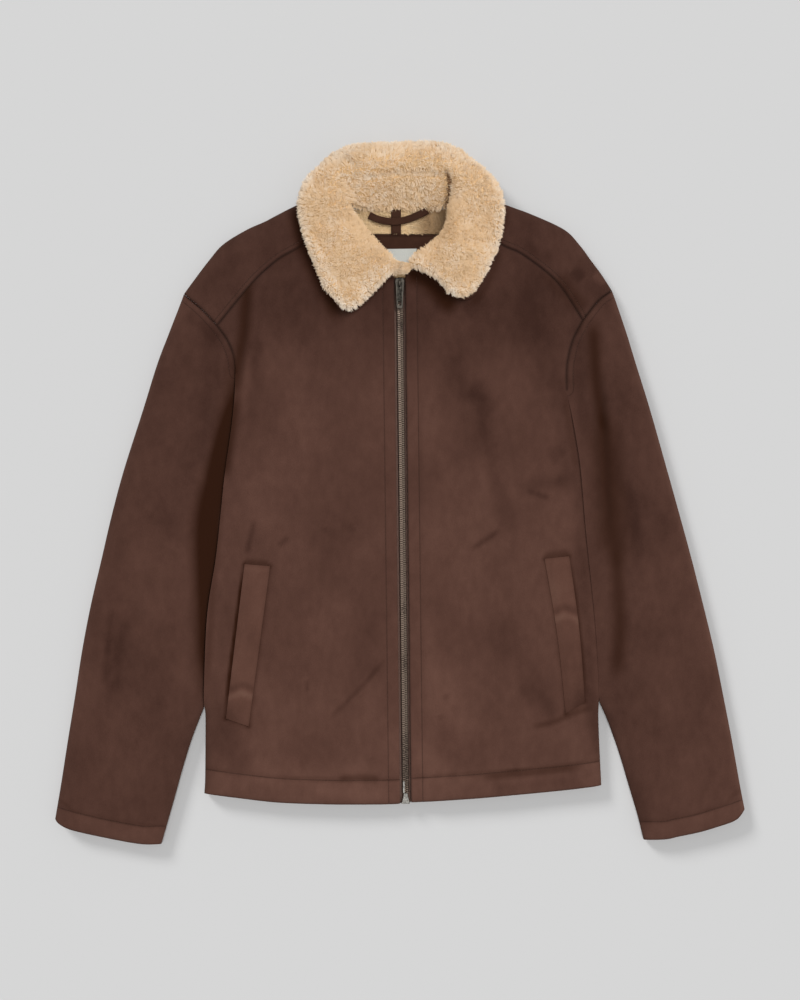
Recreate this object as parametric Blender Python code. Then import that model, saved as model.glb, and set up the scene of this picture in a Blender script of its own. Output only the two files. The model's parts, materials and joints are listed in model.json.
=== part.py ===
"""Zipped jacket of bonded faux suede and teddy pile, laid flat on its back.

The wearer's right lies at -X and the collar at +Y. The back and under sleeves rest on z = 0, the fronts,
yokes and top sleeves lie on them, and the collar's wings lie on the fronts. Every cloth piece is a panel:
an outline in plan, joined from shared seam curves, with one height rule for its upper face and one for its
lower face. Neighbouring pieces keep SEAM_GAP between them. Tables are in millimetres.
"""
import math

import bmesh
import bpy
import numpy as np
from mathutils import Matrix, Vector, geometry

MM = 0.001
PLAN_MIDDLE = (-1.0, 0.0, 0.0)   # the tables' middle in plan, which is put at the origin
SEAM_GAP = 0.3            # between neighbouring pieces

# Heights of the layers above the surface
BACK_WALL = 8.0           # back and under sleeves: suede bonded to pile
MATE = BACK_WALL + SEAM_GAP
FRONT_CROWN = 20.5        # fronts and yokes, at their fullest
SLEEVE_CROWN = 24.0       # top sleeve at the upper arm
CUFF_CROWN = 20.0         # top sleeve at the cuff
EDGE_LOW = 5.0            # side seams: lower and upper lip of the rounded side
EDGE_HIGH = 10.5
BODY_ROUND = 24.0         # plan width over which a side rounds up to the crown
SLEEVE_ROUND = 34.0
UNDER_ROUND = 13.0        # the same below, down to the flat underside
HEM_ROUND = 7.0
HEM_DROP = 4.0            # how far a turned hem or cuff edge rolls down
HOLLOW = 3.8              # room between the front's wall and the back's
HOLLOW_RUN = 60.0

# Front edges and zip
ZIP_TOP = (-1.0, 247.0)
ZIP_FOOT = (6.0, -355.0)
ZIP_HALF_GAP = 6.5        # from the zip's middle to each folded front edge
FRONT_EDGE_DROP = 3.0     # the stitched edge is pressed thinner
FRONT_EDGE_RUN = 25.0
TAPE_REACH = 15.0
TAPE_LOW, TAPE_HIGH = 10.8, 11.7
TEETH_HALF = 3.1
TEETH_LOW, TEETH_HIGH = 12.0, 15.2

# Seam curves, one pair of tables for each side: (x, y) along the seam
SEAMS = {
    "right": {
        "side": [(-224.5, -346), (-225.5, -239), (-221, -143), (-211, -76), (-205.5, -26), (-200.5, 22),
                 (-193, 75), (-189.5, 110), (-188.5, 137.5)],
        "armhole_low": [(-188.5, 137.5), (-191.5, 157), (-199, 175), (-210.5, 191.5)],
        "armhole_high": [(-210.5, 191.5), (-227, 209), (-249, 228)],
        "ridge": [(-249, 228), (-245.5, 233), (-233, 250), (-220, 267), (-204, 284.6), (-177.7, 302),
                  (-144, 319), (-118, 329.5), (-90, 340)],
        "yoke": [(-210.5, 191.5), (-189, 218), (-168, 242.5), (-154, 256), (-138, 269), (-113, 283), (-66, 309)],
        "neck_high": [(-90, 340), (-80, 327), (-66, 309)],
        "neck_low": [(-66, 309), (-40, 289), (-19, 268), (-7.6, 250)],
        "back_neck": [(-90, 340), (-70, 328), (-45, 324.5), (0, 324.5)],
        "hem": [(-0.5, -357.5), (-15, -358), (-77, -358), (-138, -356), (-184, -351), (-224.5, -346)],
        "sleeve_outer": [(-249, 228), (-253.6, 215.6), (-267, 181), (-280, 146.6), (-296, 95), (-318, 26),
                         (-332, -26), (-344, -77.6), (-356, -129), (-366, -181), (-374, -233),
                         (-382.4, -284.6), (-390.4, -336), (-397, -376)],
        "cuff": [(-397, -376), (-392, -382), (-378, -388), (-349, -394), (-302, -403), (-276, -404)],
        "sleeve_inner": [(-276, -404), (-261.6, -353.6), (-252, -319), (-241, -284.6), (-230, -250),
                         (-226.5, -232), (-222.2, -143), (-212, -76), (-206.5, -26), (-201.5, 22),
                         (-194, 75), (-190.2, 110), (-188.5, 137.5)],
    },
    "left": {
        "side": [(230.5, -336), (228, -239), (226, -198), (222, -140), (214, -63), (211, -31), (205.5, 32),
                 (197, 85), (190.6, 118)],
        "armhole_low": [(190.6, 118), (190.2, 135), (191.5, 151.5), (197.5, 175), (209, 197.5)],
        "armhole_high": [(209, 197.5), (227, 220), (243, 232)],
        "ridge": [(243, 232), (230.6, 250), (218, 267), (205, 284.6), (188, 302), (153.5, 319), (123, 331),
                  (92, 342)],
        "yoke": [(209, 197.5), (186, 233), (168, 252), (138, 274), (118, 283), (70, 308)],
        "neck_high": [(92, 342), (82, 328), (70, 308)],
        "neck_low": [(70, 308), (45, 289), (20, 268), (5.5, 250)],
        "back_neck": [(92, 342), (72, 329), (45, 325), (0, 324.5)],
        "hem": [(12.5, -356), (77.5, -352), (139, -346), (201, -340), (230.5, -336)],
        "sleeve_outer": [(243, 232), (249, 215.6), (260.5, 181), (271, 146.6), (287, 95), (306.5, 26),
                         (321, -26), (335, -77.6), (348, -129), (360.5, -181), (371, -233), (381, -284.6),
                         (389, -336), (395, -363)],
        "cuff": [(395, -363), (385, -376), (367.5, -382), (343, -388), (318, -393), (305, -398), (280, -399.5)],
        "sleeve_inner": [(280, -399.5), (273, -371), (261.6, -336), (251.6, -302), (240, -267),
                         (231, -245), (227, -198), (223, -140), (215, -63), (212, -31), (206.5, 32),
                         (197.8, 85), (190.6, 118)],
    },
}
STEP = 20.0               # spacing of the points read from a seam curve
STEPS = {"armhole_low": 11.0, "armhole_high": 11.0, "neck_low": 13.0, "back_neck": 16.0, "cuff": 13.0}

# Largest folds: (side, layer, start, end, half width, depth), troughs positive
FOLDS = [
    ("left", "sleeve", (226, 150), (236, -70), 11.0, 4.0),
    ("left", "sleeve", (262, 120), (322, -120), 16.0, 1.6),
    ("right", "sleeve", (-236, 150), (-262, 20), 15.0, 1.8),
    ("right", "sleeve", (-330, -120), (-268, -170), 16.0, 1.8),
    ("left", "body", (150, 150), (92, 60), 22.0, 1.4),
    ("right", "body", (-150, 160), (-96, 50), 22.0, 1.4),
    ("right", "body", (-50, -345), (-36, -300), 12.0, 1.8),
]

# Collar sections from the right front end round the back to the left front end:
# (inner x, inner y, outer x, outer y, base at inner, base at outer, inner lip, crest place, crest, outer lip)
COLLAR = [
    (-4.5, 258.5, -60, 205.5, 23.4, 23.4, 32, 0.40, 41, 29),
    (-12, 272, -72, 210.5, 23.4, 23.4, 33, 0.34, 42, 29),
    (-22, 284, -86, 236, 23.4, 23.4, 33, 0.32, 43, 29),
    (-34, 298, -102, 268, 23.4, 23.4, 33, 0.32, 44, 29),
    (-46, 312, -114, 303, 23.4, 23.4, 33, 0.34, 45, 30),
    (-55, 325.5, -118.5, 331, 23.4, 23.4, 32, 0.40, 45, 31),
    (-52, 328, -109, 360, 22.0, 15.0, 28, 0.52, 45, 26),
    (-44, 327.5, -86, 383, 11.0, 0.0, 20, 0.62, 45, 18),
    (-26, 326.5, -50, 400, 0.0, 0.0, 15, 0.68, 46, 14),
    (0, 326, -2, 403, 0.0, 0.0, 14, 0.69, 46, 14),
    (26, 326.5, 50, 402, 0.0, 0.0, 15, 0.68, 46, 14),
    (46, 328, 86, 384, 11.0, 0.0, 20, 0.60, 45, 18),
    (53, 329, 110, 358, 22.0, 15.0, 28, 0.46, 46, 26),
    (53, 322, 120, 330, 23.4, 23.4, 35, 0.26, 46, 31),
    (51, 308, 116, 291, 23.4, 23.4, 35, 0.24, 45, 30),
    (44, 295, 104, 256, 23.4, 23.4, 34, 0.28, 44, 29),
    (32, 285, 89, 229, 23.4, 23.4, 33, 0.32, 43, 29),
    (17, 275, 76, 219.5, 23.4, 23.4, 33, 0.36, 42, 29),
    (4.5, 262, 60, 222, 23.4, 23.4, 32, 0.42, 40, 29),
]
COLLAR_ACROSS = (0.0, 0.03, 0.10, 0.22, 0.36, 0.50, 0.64, 0.78, 0.90, 0.97, 1.0)
COLLAR_ROUND = 0.13       # share of the width over which the outer lip rounds off
COLLAR_EDGE_RISE = 8.0    # height of the fall above its outer lip, before it rounds off
UNDER_COLLAR_LOW, UNDER_COLLAR_HIGH = 21.4, 23.0
UNDER_COLLAR_SPAN = (0.14, 0.985)
WING_ROWS = {"right": (0, 5), "left": (13, 18)}

# Slanted pocket welts, corners from the top outer one round, outwards from the front
WELTS = {
    "right": [(-178, -79), (-149, -81), (-174, -268), (-200, -259)],
    "left": [(193, -73), (165, -76), (192, -254), (211, -240)],
}
WELT_BEND = {"right": 0.0, "left": 5.0}      # how far the welt's middle bows outwards
WELT_THICK = 2.2
WELT_LIFT = 0.4

# Neck, seen inside the collar: outline, lower face, upper face
NECK = {
    "neck_lining": ([(-48, 297.4), (46, 297.4), (62, 312), (68, 322.5), (-66, 322.5), (-60, 311)], 8.3, 11.3),
    "neck_facing": ([(-45, 297), (44, 297), (19, 272), (-19, 272)], 8.3, 9.8),
    "neck_tape": ([(-10, 297.6), (-1, 297.6), (-1, 322.5), (-10, 322.5)], 11.6, 12.6),
    "neck_label": ([(-13, 282), (17, 282), (16, 272.5), (-12, 272.5)], 10.1, 10.8),
}
LOOP = [(-36, 318.5, 11.9), (-25, 312.5, 12.9), (-10, 309.5, 13.3), (5, 311, 13.1), (19, 316, 12.6),
        (31, 320.5, 11.9)]
LOOP_WIDTH = 8.5
LOOP_THICK = 2.0

# Zip slider, bail, pull tab and the foot's box, measured from the hinge
HINGE_Y = 240.0
HINGE_Z = 19.4
SLIDER_HALF_TOP, SLIDER_HALF_FOOT = 5.4, 4.3
SLIDER_ABOVE, SLIDER_BELOW = 6.0, 15.0
SLIDER_LOW, SLIDER_HIGH = 15.5, 18.0
BAIL_HALF_WIDTH = 1.2
BAIL_INNER, BAIL_OUTER = 2.5, 4.5            # distance of a leg's faces from the hinge
BAIL_UNDER, BAIL_TOP = 21.5, 22.7
TAB_HALF_WIDTH, TAB_END_HALF = 4.5, 3.6
TAB_LENGTH = 29.0
TAB_THICK = 1.6
EYE_HALF_WIDTH, EYE_NEAR, EYE_FAR = 2.5, 1.0, 6.5
TAB_HOLE_HALF, TAB_HOLE_NEAR, TAB_HOLE_FAR = 1.5, 21.0, 25.5
BOX_HALF, BOX_FROM, BOX_TO = 4.8, -357.0, -345.0
BOX_LOW, BOX_HIGH = 15.5, 18.0

SUEDE = (0.085, 0.043, 0.030)
SUEDE_WELT = (0.115, 0.058, 0.042)
TEDDY = (0.66, 0.46, 0.27)
METAL = (0.10, 0.095, 0.09)
TAPE = (0.04, 0.028, 0.022)
LABEL = (0.62, 0.60, 0.55)


def clear_scene():
    for old in list(bpy.data.objects):
        bpy.data.objects.remove(old, do_unlink=True)


def material(name, colour, roughness, metallic=0.0):
    """One Principled material for one sub-part."""
    made = bpy.data.materials.new(name)
    made.use_nodes = True
    shader = made.node_tree.nodes["Principled BSDF"]
    shader.inputs["Base Color"].default_value = (*colour, 1.0)
    shader.inputs["Roughness"].default_value = roughness
    shader.inputs["Metallic"].default_value = metallic
    return made


def place(point):
    """A table point in millimetres as a scene point in metres."""
    return (Vector(point) - Vector(PLAN_MIDDLE)) * MM


def add_mesh(name, points_mm, faces, colour, roughness, metallic=0.0, smooth=False):
    """A named object from points in millimetres and faces."""
    mesh = bpy.data.meshes.new(name)
    mesh.from_pydata([place(p) for p in points_mm], [], faces)
    made = bpy.data.objects.new(name, mesh)
    bpy.context.scene.collection.objects.link(made)
    mesh.materials.append(material(name, colour, roughness, metallic))
    if smooth:
        mesh.shade_smooth()
        mesh.set_sharp_from_angle(angle=math.radians(40))
    return made


# ---------------------------------------------------------------- plan curves

def smooth_curve(points, step):
    """Catmull-Rom curve through the points, read about every step, both ends kept."""
    p = np.array(points, float)
    p = np.vstack([2 * p[0] - p[1], p, 2 * p[-1] - p[-2]])
    out = []
    for a, b, c, d in zip(p, p[1:], p[2:], p[3:]):
        count = max(1, round(np.linalg.norm(c - b) / step))
        for t in np.arange(count) / count:
            out.append(0.5 * (2 * b + (c - a) * t + (2 * a - 5 * b + 4 * c - d) * t * t
                              + (3 * b - a - 3 * c + d) * t ** 3))
    out.append(p[-2])
    return np.array(out)


def seam(side, name):
    return smooth_curve(SEAMS[side][name], STEPS.get(name, STEP))


def closed(*runs):
    """Join runs end to end into one anticlockwise outline; a run's last point is the next run's first."""
    outline = np.vstack([run[:-1] for run in runs])
    x, y = outline.T
    area = np.sum(x * np.roll(y, -1) - np.roll(x, -1) * y)
    return outline if area > 0 else outline[::-1]


def inset(outline, amount):
    """The outline moved inwards by amount, mitred at its corners."""
    before = outline - np.roll(outline, 1, axis=0)
    after = np.roll(outline, -1, axis=0) - outline
    normals = []
    for edge in (before, after):
        edge = edge / np.linalg.norm(edge, axis=1)[:, None]
        normals.append(np.column_stack([-edge[:, 1], edge[:, 0]]))
    middle = normals[0] + normals[1]
    middle /= np.linalg.norm(middle, axis=1)[:, None]
    lean = np.clip(np.sum(middle * normals[0], axis=1), 0.35, 1.0)
    return outline + middle * (amount / lean)[:, None]


def distance(points, line, is_closed=False):
    """Shortest plan distance from each point to a polyline."""
    ends = np.roll(line, -1, axis=0) if is_closed else line[1:]
    starts = line if is_closed else line[:-1]
    run = ends - starts
    rel = points[:, None, :] - starts[None, :, :]
    length_squared = np.maximum(np.sum(run * run, axis=1), 1e-12)
    t = np.clip(np.sum(rel * run, axis=2) / length_squared, 0, 1)
    return np.linalg.norm(rel - t[:, :, None] * run, axis=2).min(axis=1)


def inside(points, outline):
    """Even-odd test of each point against a closed outline."""
    x, y = points[:, 0][:, None], points[:, 1][:, None]
    a, b = outline, np.roll(outline, -1, axis=0)
    crosses = (a[:, 1] > y) != (b[:, 1] > y)
    with np.errstate(divide="ignore", invalid="ignore"):
        at = a[:, 0] + (y - a[:, 1]) * (b[:, 0] - a[:, 0]) / (b[:, 1] - a[:, 1])
    return (np.sum(crosses & (x < at), axis=1) % 2) == 1


# ---------------------------------------------------------------- panels

def fill(outline, rings, spacing):
    """Inner points of a panel: rings along its edge, then an even field."""
    chosen = np.empty((0, 2))
    for depth in rings:
        ring = inset(outline, depth)
        keep = inside(ring, outline) & (distance(ring, outline, True) > 0.93 * depth)
        chosen = np.vstack([chosen, ring[keep]])
    low, high = outline.min(axis=0), outline.max(axis=0)
    field = np.array([(x + (row % 2) * spacing / 2, y)
                      for row, y in enumerate(np.arange(low[1], high[1], spacing * 0.87))
                      for x in np.arange(low[0], high[0], spacing)])
    clear = (rings[-1] if rings else 0.0) + spacing * 0.45
    keep = inside(field, outline)
    keep[keep] = distance(field[keep], outline, True) > clear
    return np.vstack([chosen, field[keep]])


def triangulate(outline, inner):
    """Triangles over an outline and its inner points; outline points come first."""
    points = np.vstack([outline, inner])
    edge = len(outline)
    found = geometry.delaunay_2d_cdt([Vector(p) for p in points], [], [list(range(edge))], 1, 1e-6)
    if len(found[0]) != len(points):
        raise ValueError("points of a panel fell together")
    return points, [list(face) for face in found[2]]


def panel(name, outline, top, bottom, colour, rings=((2, 8, 17), ()), spacing=(34, 90), gap=SEAM_GAP):
    """A closed wall of cloth over an outline, between the height rules top(points) and bottom(points)."""
    edge = inset(outline, gap / 2)
    upper, upper_faces = triangulate(edge, fill(edge, rings[0], spacing[0]))
    lower, lower_faces = triangulate(edge, fill(edge, rings[1], spacing[1]))
    points = [(x, y, z) for (x, y), z in zip(upper, top(upper))]
    points += [(x, y, z) for (x, y), z in zip(lower, bottom(lower))]
    shift, count = len(upper), len(edge)
    faces = upper_faces + [[i + shift for i in reversed(face)] for face in lower_faces]
    faces += [[i + shift, (i + 1) % count + shift, (i + 1) % count, i] for i in range(count)]
    return add_mesh(name, points, faces, colour, 0.9)


def rounded(share):
    """Quarter-circle rise from 0 at the edge to 1 at full share."""
    t = np.clip(share, 0, 1)
    return np.sqrt(1 - (1 - t) ** 2)


def eased(share):
    t = np.clip(share, 0, 1)
    return t * t * (3 - 2 * t)


def fold_drop(points, side, layer):
    """How far the folds of this side and layer lower each point."""
    drop = np.zeros(len(points))
    for fold_side, fold_layer, start, end, half, depth in FOLDS:
        if (fold_side, fold_layer) == (side, layer):
            reach = distance(points, np.array([start, end], float)) / half
            drop += depth * (1 - eased(reach))
    return drop


def zip_x(y):
    """The zip's middle line: it leans a little from foot to top."""
    lean = (ZIP_TOP[0] - ZIP_FOOT[0]) / (ZIP_TOP[1] - ZIP_FOOT[1])
    return ZIP_FOOT[0] + lean * (np.asarray(y) - ZIP_FOOT[1])


def body_top(side):
    """Upper face of fronts and yokes: rounded at side seam and shoulder ridge, pressed at hem and zip."""
    lines = [seam(side, "side"), seam(side, "ridge")]
    hem = seam(side, "hem")

    def height(points):
        reach = np.minimum(distance(points, lines[0]), distance(points, lines[1]))
        z = EDGE_HIGH + (FRONT_CROWN - EDGE_HIGH) * rounded(reach / BODY_ROUND)
        z -= HEM_DROP * (1 - rounded(distance(points, hem) / HEM_ROUND)) * eased(reach / BODY_ROUND)
        from_zip = np.abs(points[:, 0] - zip_x(points[:, 1])) - ZIP_HALF_GAP
        z -= FRONT_EDGE_DROP * (1 - eased(from_zip / FRONT_EDGE_RUN))
        return z - fold_drop(points, side, "body")
    return height


def body_under(side):
    """Lower face of fronts and yokes: lies on the back at the sides, with a little room further in."""
    line = np.vstack([seam(side, "side"), seam(side, "armhole_low"), seam(side, "armhole_high")])
    ridge = seam(side, "ridge")

    def height(points):
        reach = np.minimum(distance(points, line), distance(points, ridge))
        return MATE + HOLLOW * eased(reach / HOLLOW_RUN)
    return height


def sleeve_top(side):
    """Upper face of a top sleeve: a soft tube, lower towards the cuff, level with the yoke at the armhole."""
    outer, inner, cuff = (seam(side, name) for name in ("sleeve_outer", "sleeve_inner", "cuff"))
    armhole = np.vstack([seam(side, "armhole_low"), seam(side, "armhole_high")])

    def height(points):
        reach = np.minimum(distance(points, outer), distance(points, inner))
        along = eased((points[:, 1] + 400) / 560)
        crown = CUFF_CROWN + (SLEEVE_CROWN - CUFF_CROWN) * along
        crown = FRONT_CROWN + (crown - FRONT_CROWN) * eased(distance(points, armhole) / 50)
        z = EDGE_HIGH + (crown - EDGE_HIGH) * rounded(reach / SLEEVE_ROUND)
        z -= HEM_DROP * (1 - rounded(distance(points, cuff) / HEM_ROUND)) * eased(reach / SLEEVE_ROUND)
        return z - fold_drop(points, side, "sleeve")
    return height


def sleeve_hollow(side):
    """Lower face of a top sleeve."""
    outer, inner = seam(side, "sleeve_outer"), seam(side, "sleeve_inner")

    def height(points):
        reach = np.minimum(distance(points, outer), distance(points, inner))
        return MATE + HOLLOW * eased(reach / HOLLOW_RUN)
    return height


def flat(z):
    return lambda points: np.full(len(points), float(z))


def underside(*lines):
    """Lower face that rests on the surface, rounded up along the given edges."""
    def height(points):
        reach = np.min([distance(points, line) for line in lines], axis=0)
        return EDGE_LOW * (1 - rounded(reach / UNDER_ROUND))
    return height


def front_edge(side):
    """Folded edge of a front, beside the zip, from hem to neck."""
    sign = -1 if side == "right" else 1
    y = np.linspace(SEAMS[side]["hem"][0][1], SEAMS[side]["neck_low"][-1][1], 25)
    line = np.column_stack([zip_x(y) + sign * ZIP_HALF_GAP, y])
    line[0], line[-1] = SEAMS[side]["hem"][0], SEAMS[side]["neck_low"][-1]
    return line


def make_back():
    runs = []
    for side in ("right", "left"):
        middle_hem = np.array([(6.0, -357.0)])
        hem = np.vstack([middle_hem, seam(side, "hem")])
        run = [hem, seam(side, "side"), seam(side, "armhole_low"), seam(side, "armhole_high"),
               seam(side, "ridge"), seam(side, "back_neck")]
        runs.append(np.vstack([part[:-1] for part in run] + [run[-1][-1:]]))
    outline = closed(runs[0], runs[1][::-1])
    edges = [seam(side, name) for side in ("right", "left") for name in ("side", "ridge")]
    panel("back", outline, flat(BACK_WALL), underside(*edges), SUEDE, ((), (3, 12)), (120, 80))


def make_side(side):
    """Front, yoke, top sleeve and under sleeve of one side."""
    armhole = [seam(side, "armhole_low"), seam(side, "armhole_high")]
    front = closed(seam(side, "hem"), seam(side, "side"), armhole[0], seam(side, "yoke"),
                   seam(side, "neck_low"), front_edge(side)[::-1])
    panel(f"front_{side}", front, body_top(side), body_under(side), SUEDE, spacing=(40, 70))
    yoke = closed(armhole[1], seam(side, "ridge"), seam(side, "neck_high"), seam(side, "yoke")[::-1])
    panel(f"yoke_{side}", yoke, body_top(side), body_under(side), SUEDE, ((3, 12), ()), (30, 50))
    sleeve = closed(*armhole, seam(side, "sleeve_outer"), seam(side, "cuff"), seam(side, "sleeve_inner"))
    panel(f"sleeve_top_{side}", sleeve, sleeve_top(side), sleeve_hollow(side), SUEDE, ((2, 9, 21), ()), (40, 60))
    under = underside(seam(side, "sleeve_outer"), seam(side, "sleeve_inner"))
    panel(f"sleeve_under_{side}", sleeve, flat(BACK_WALL), under, SUEDE, ((), (4, 12)), (90, 60))


# ---------------------------------------------------------------- grids

def slab(name, top, bottom, colour, roughness=0.9, metallic=0.0):
    """A closed solid between two grids of points, rows x columns x 3, seen from above anticlockwise."""
    rows, columns = top.shape[:2]
    points = np.vstack([top.reshape(-1, 3), bottom.reshape(-1, 3)])
    low = rows * columns

    def at(row, column):
        return row * columns + column
    faces = []
    for row in range(rows - 1):
        for column in range(columns - 1):
            quad = [at(row, column), at(row, column + 1), at(row + 1, column + 1), at(row + 1, column)]
            faces += [quad, [i + low for i in reversed(quad)]]
    rim = [at(0, c) for c in range(columns)] + [at(r, columns - 1) for r in range(1, rows)]
    rim += [at(rows - 1, c) for c in range(columns - 2, -1, -1)] + [at(r, 0) for r in range(rows - 2, 0, -1)]
    for a, b in zip(rim, rim[1:] + rim[:1]):
        faces.append([a, a + low, b + low, b])
    made = add_mesh(name, points, faces, colour, roughness, metallic)
    shape = bmesh.new()
    shape.from_mesh(made.data)
    bmesh.ops.recalc_face_normals(shape, faces=shape.faces)
    shape.to_mesh(made.data)
    shape.free()
    return made


def collar_rows(first, last, per_section):
    """Smooth run of collar sections: each column of the table on its own Catmull-Rom curve."""
    table = np.array(COLLAR, float)[first:last + 1]
    ends = np.vstack([2 * table[0] - table[1], table, 2 * table[-1] - table[-2]])
    rows = []
    for a, b, c, d in zip(ends, ends[1:], ends[2:], ends[3:]):
        for t in np.arange(per_section) / per_section:
            rows.append(0.5 * (2 * b + (c - a) * t + (2 * a - 5 * b + 4 * c - d) * t * t
                               + (3 * b - a - 3 * c + d) * t ** 3))
    rows.append(ends[-2])
    return np.array(rows)


def collar_grid(rows, across, z_rule):
    """Grid of points over collar sections; z_rule gives the height from a row and the shares across."""
    across = np.array(across, float)
    grid = np.empty((len(rows), len(across), 3))
    for index, row in enumerate(rows):
        inner, outer = row[0:2], row[2:4]
        grid[index, :, :2] = inner + across[:, None] * (outer - inner)
        grid[index, :, 2] = z_rule(row, across)
    return grid


def collar_top(row, share):
    """From the inner lip over the crest, then down to the outer lip, which rounds off at the edge."""
    lip_in, place, crest, lip_out = row[6:10]
    rise = lip_in + (crest - lip_in) * np.sin(np.clip(share / place, 0, 1) * math.pi / 2) ** 1.3
    fall = crest - (crest - lip_out - COLLAR_EDGE_RISE) * eased((share - place) / (1 - place))
    z = np.where(share < place, rise, fall)
    lip = lip_out + (z - lip_out) * rounded((1 - share) / COLLAR_ROUND)
    return np.where(share > 1 - COLLAR_ROUND, lip, z)


def collar_base(row, share):
    return np.maximum(row[4] + (row[5] - row[4]) * share, 0.0)


def make_collar():
    rows = collar_rows(0, len(COLLAR) - 1, 2)
    slab("collar_upper", collar_grid(rows, COLLAR_ACROSS, collar_top),
         collar_grid(rows, COLLAR_ACROSS, collar_base), TEDDY)
    for side, (first, last) in WING_ROWS.items():
        rows = collar_rows(first, last, 2)
        across = np.linspace(*UNDER_COLLAR_SPAN, 4)
        slab(f"collar_under_{side}", collar_grid(rows, across, lambda r, s: UNDER_COLLAR_HIGH + 0 * s),
             collar_grid(rows, across, lambda r, s: UNDER_COLLAR_LOW + 0 * s), SUEDE)


# ---------------------------------------------------------------- trims

def make_welt(side):
    """Pocket welt: a strip laid on the front, its points moved up from the front's own."""
    top_out, top_in, foot_in, foot_out = (np.array(p, float) for p in WELTS[side])
    sign = -1 if side == "right" else 1
    down = np.linspace(0, 1, 12)[:, None]
    bow = np.column_stack([sign * WELT_BEND[side] * np.sin(math.pi * down[:, 0]), np.zeros(12)])
    outer = top_out + (foot_out - top_out) * down + bow
    inner = top_in + (foot_in - top_in) * down + bow
    share = np.array([0, 0.25, 0.5, 0.75, 1.0])
    plan = outer[:, None, :] + share[None, :, None] * (inner - outer)[:, None, :]
    ground = body_top(side)(plan.reshape(-1, 2)).reshape(12, 5)
    top = np.dstack([plan, ground + WELT_LIFT + WELT_THICK])
    bottom = np.dstack([plan, ground + WELT_LIFT])
    slab(f"pocket_welt_{side}", top, bottom, SUEDE_WELT)


def strip(name, near, far, low, high, y_from, y_to, colour, roughness, metallic=0.0):
    """A straight strip beside the zip's middle line, between two distances from it."""
    y = np.array([y_from, y_to])
    plan = np.empty((2, 2, 2))
    for column, offset in enumerate((near, far)):
        plan[:, column] = np.column_stack([zip_x(y) + offset, y])
    slab(name, np.dstack([plan, np.full((2, 2), high)]), np.dstack([plan, np.full((2, 2), low)]),
         colour, roughness, metallic)


def make_zip():
    for side, sign in (("right", -1), ("left", 1)):
        near = sign * SEAM_GAP / 2
        strip(f"zip_tape_{side}", near, sign * TAPE_REACH, TAPE_LOW, TAPE_HIGH, -355, 247, TAPE, 0.85)
        strip(f"zip_teeth_{side}", near, sign * TEETH_HALF, TEETH_LOW, TEETH_HIGH, -355, 246, METAL, 0.4, 1.0)
    box = box_at(zip_x(-351), (BOX_FROM + BOX_TO) / 2, (BOX_LOW + BOX_HIGH) / 2,
                 2 * BOX_HALF, BOX_TO - BOX_FROM, BOX_HIGH - BOX_LOW)
    add_mesh("zip_box", *box, METAL, 0.35, 1.0)


def box_at(x, y, z, wide, long, tall):
    """Points and faces of a box about a middle point."""
    points = [(x + i * wide / 2, y + j * long / 2, z + k * tall / 2)
              for i in (-1, 1) for j in (-1, 1) for k in (-1, 1)]
    faces = [[0, 1, 3, 2], [4, 6, 7, 5], [0, 4, 5, 1], [2, 3, 7, 6], [0, 2, 6, 4], [1, 5, 7, 3]]
    return points, faces


def boolean(target, cutter, operation):
    """Apply a Boolean with a helper object, then remove the helper."""
    step = target.modifiers.new(operation.lower(), "BOOLEAN")
    step.object = cutter
    step.operation = operation
    step.solver = "EXACT"
    bpy.context.view_layer.update()
    shaped = bpy.data.meshes.new_from_object(target.evaluated_get(bpy.context.evaluated_depsgraph_get()))
    target.modifiers.clear()
    target.data = shaped
    bpy.data.objects.remove(cutter, do_unlink=True)


def helper(points, faces):
    mesh = bpy.data.meshes.new("helper")
    mesh.from_pydata([place(p) for p in points], [], faces)
    made = bpy.data.objects.new("helper", mesh)
    bpy.context.scene.collection.objects.link(made)
    return made


def make_slider():
    """Slider plate with the bail, a small bridge that the pull tab's bar sits in."""
    middle = float(zip_x(HINGE_Y))
    shares = np.array([-1.0, -0.5, 0.5, 1.0])
    y = np.array([HINGE_Y + SLIDER_ABOVE, HINGE_Y - 1, HINGE_Y - 8, HINGE_Y - SLIDER_BELOW])
    half = np.array([SLIDER_HALF_TOP - 1.2, SLIDER_HALF_TOP, SLIDER_HALF_FOOT + 0.2, SLIDER_HALF_FOOT])
    plan = np.empty((4, 4, 2))
    plan[:, :, 0] = middle + half[:, None] * shares[None, :]
    plan[:, :, 1] = y[:, None]
    crown = np.where(np.abs(shares) > 0.9, SLIDER_HIGH - 0.6, SLIDER_HIGH)
    top = np.dstack([plan, np.tile(crown, (4, 1))])
    slider = slab("zip_slider", top, np.dstack([plan, np.full((4, 4), SLIDER_LOW)]), METAL, 0.35, 1.0)
    tall = BAIL_TOP - SLIDER_HIGH + 0.5
    block = helper(*box_at(middle, HINGE_Y, BAIL_TOP - tall / 2, 2 * BAIL_HALF_WIDTH, 2 * BAIL_OUTER, tall))
    hole = helper(*box_at(middle, HINGE_Y, (BAIL_UNDER + SLIDER_HIGH) / 2, 4 * BAIL_HALF_WIDTH,
                          2 * BAIL_INNER, BAIL_UNDER - SLIDER_HIGH))
    boolean(block, hole, "DIFFERENCE")
    boolean(slider, block, "UNION")


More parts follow.
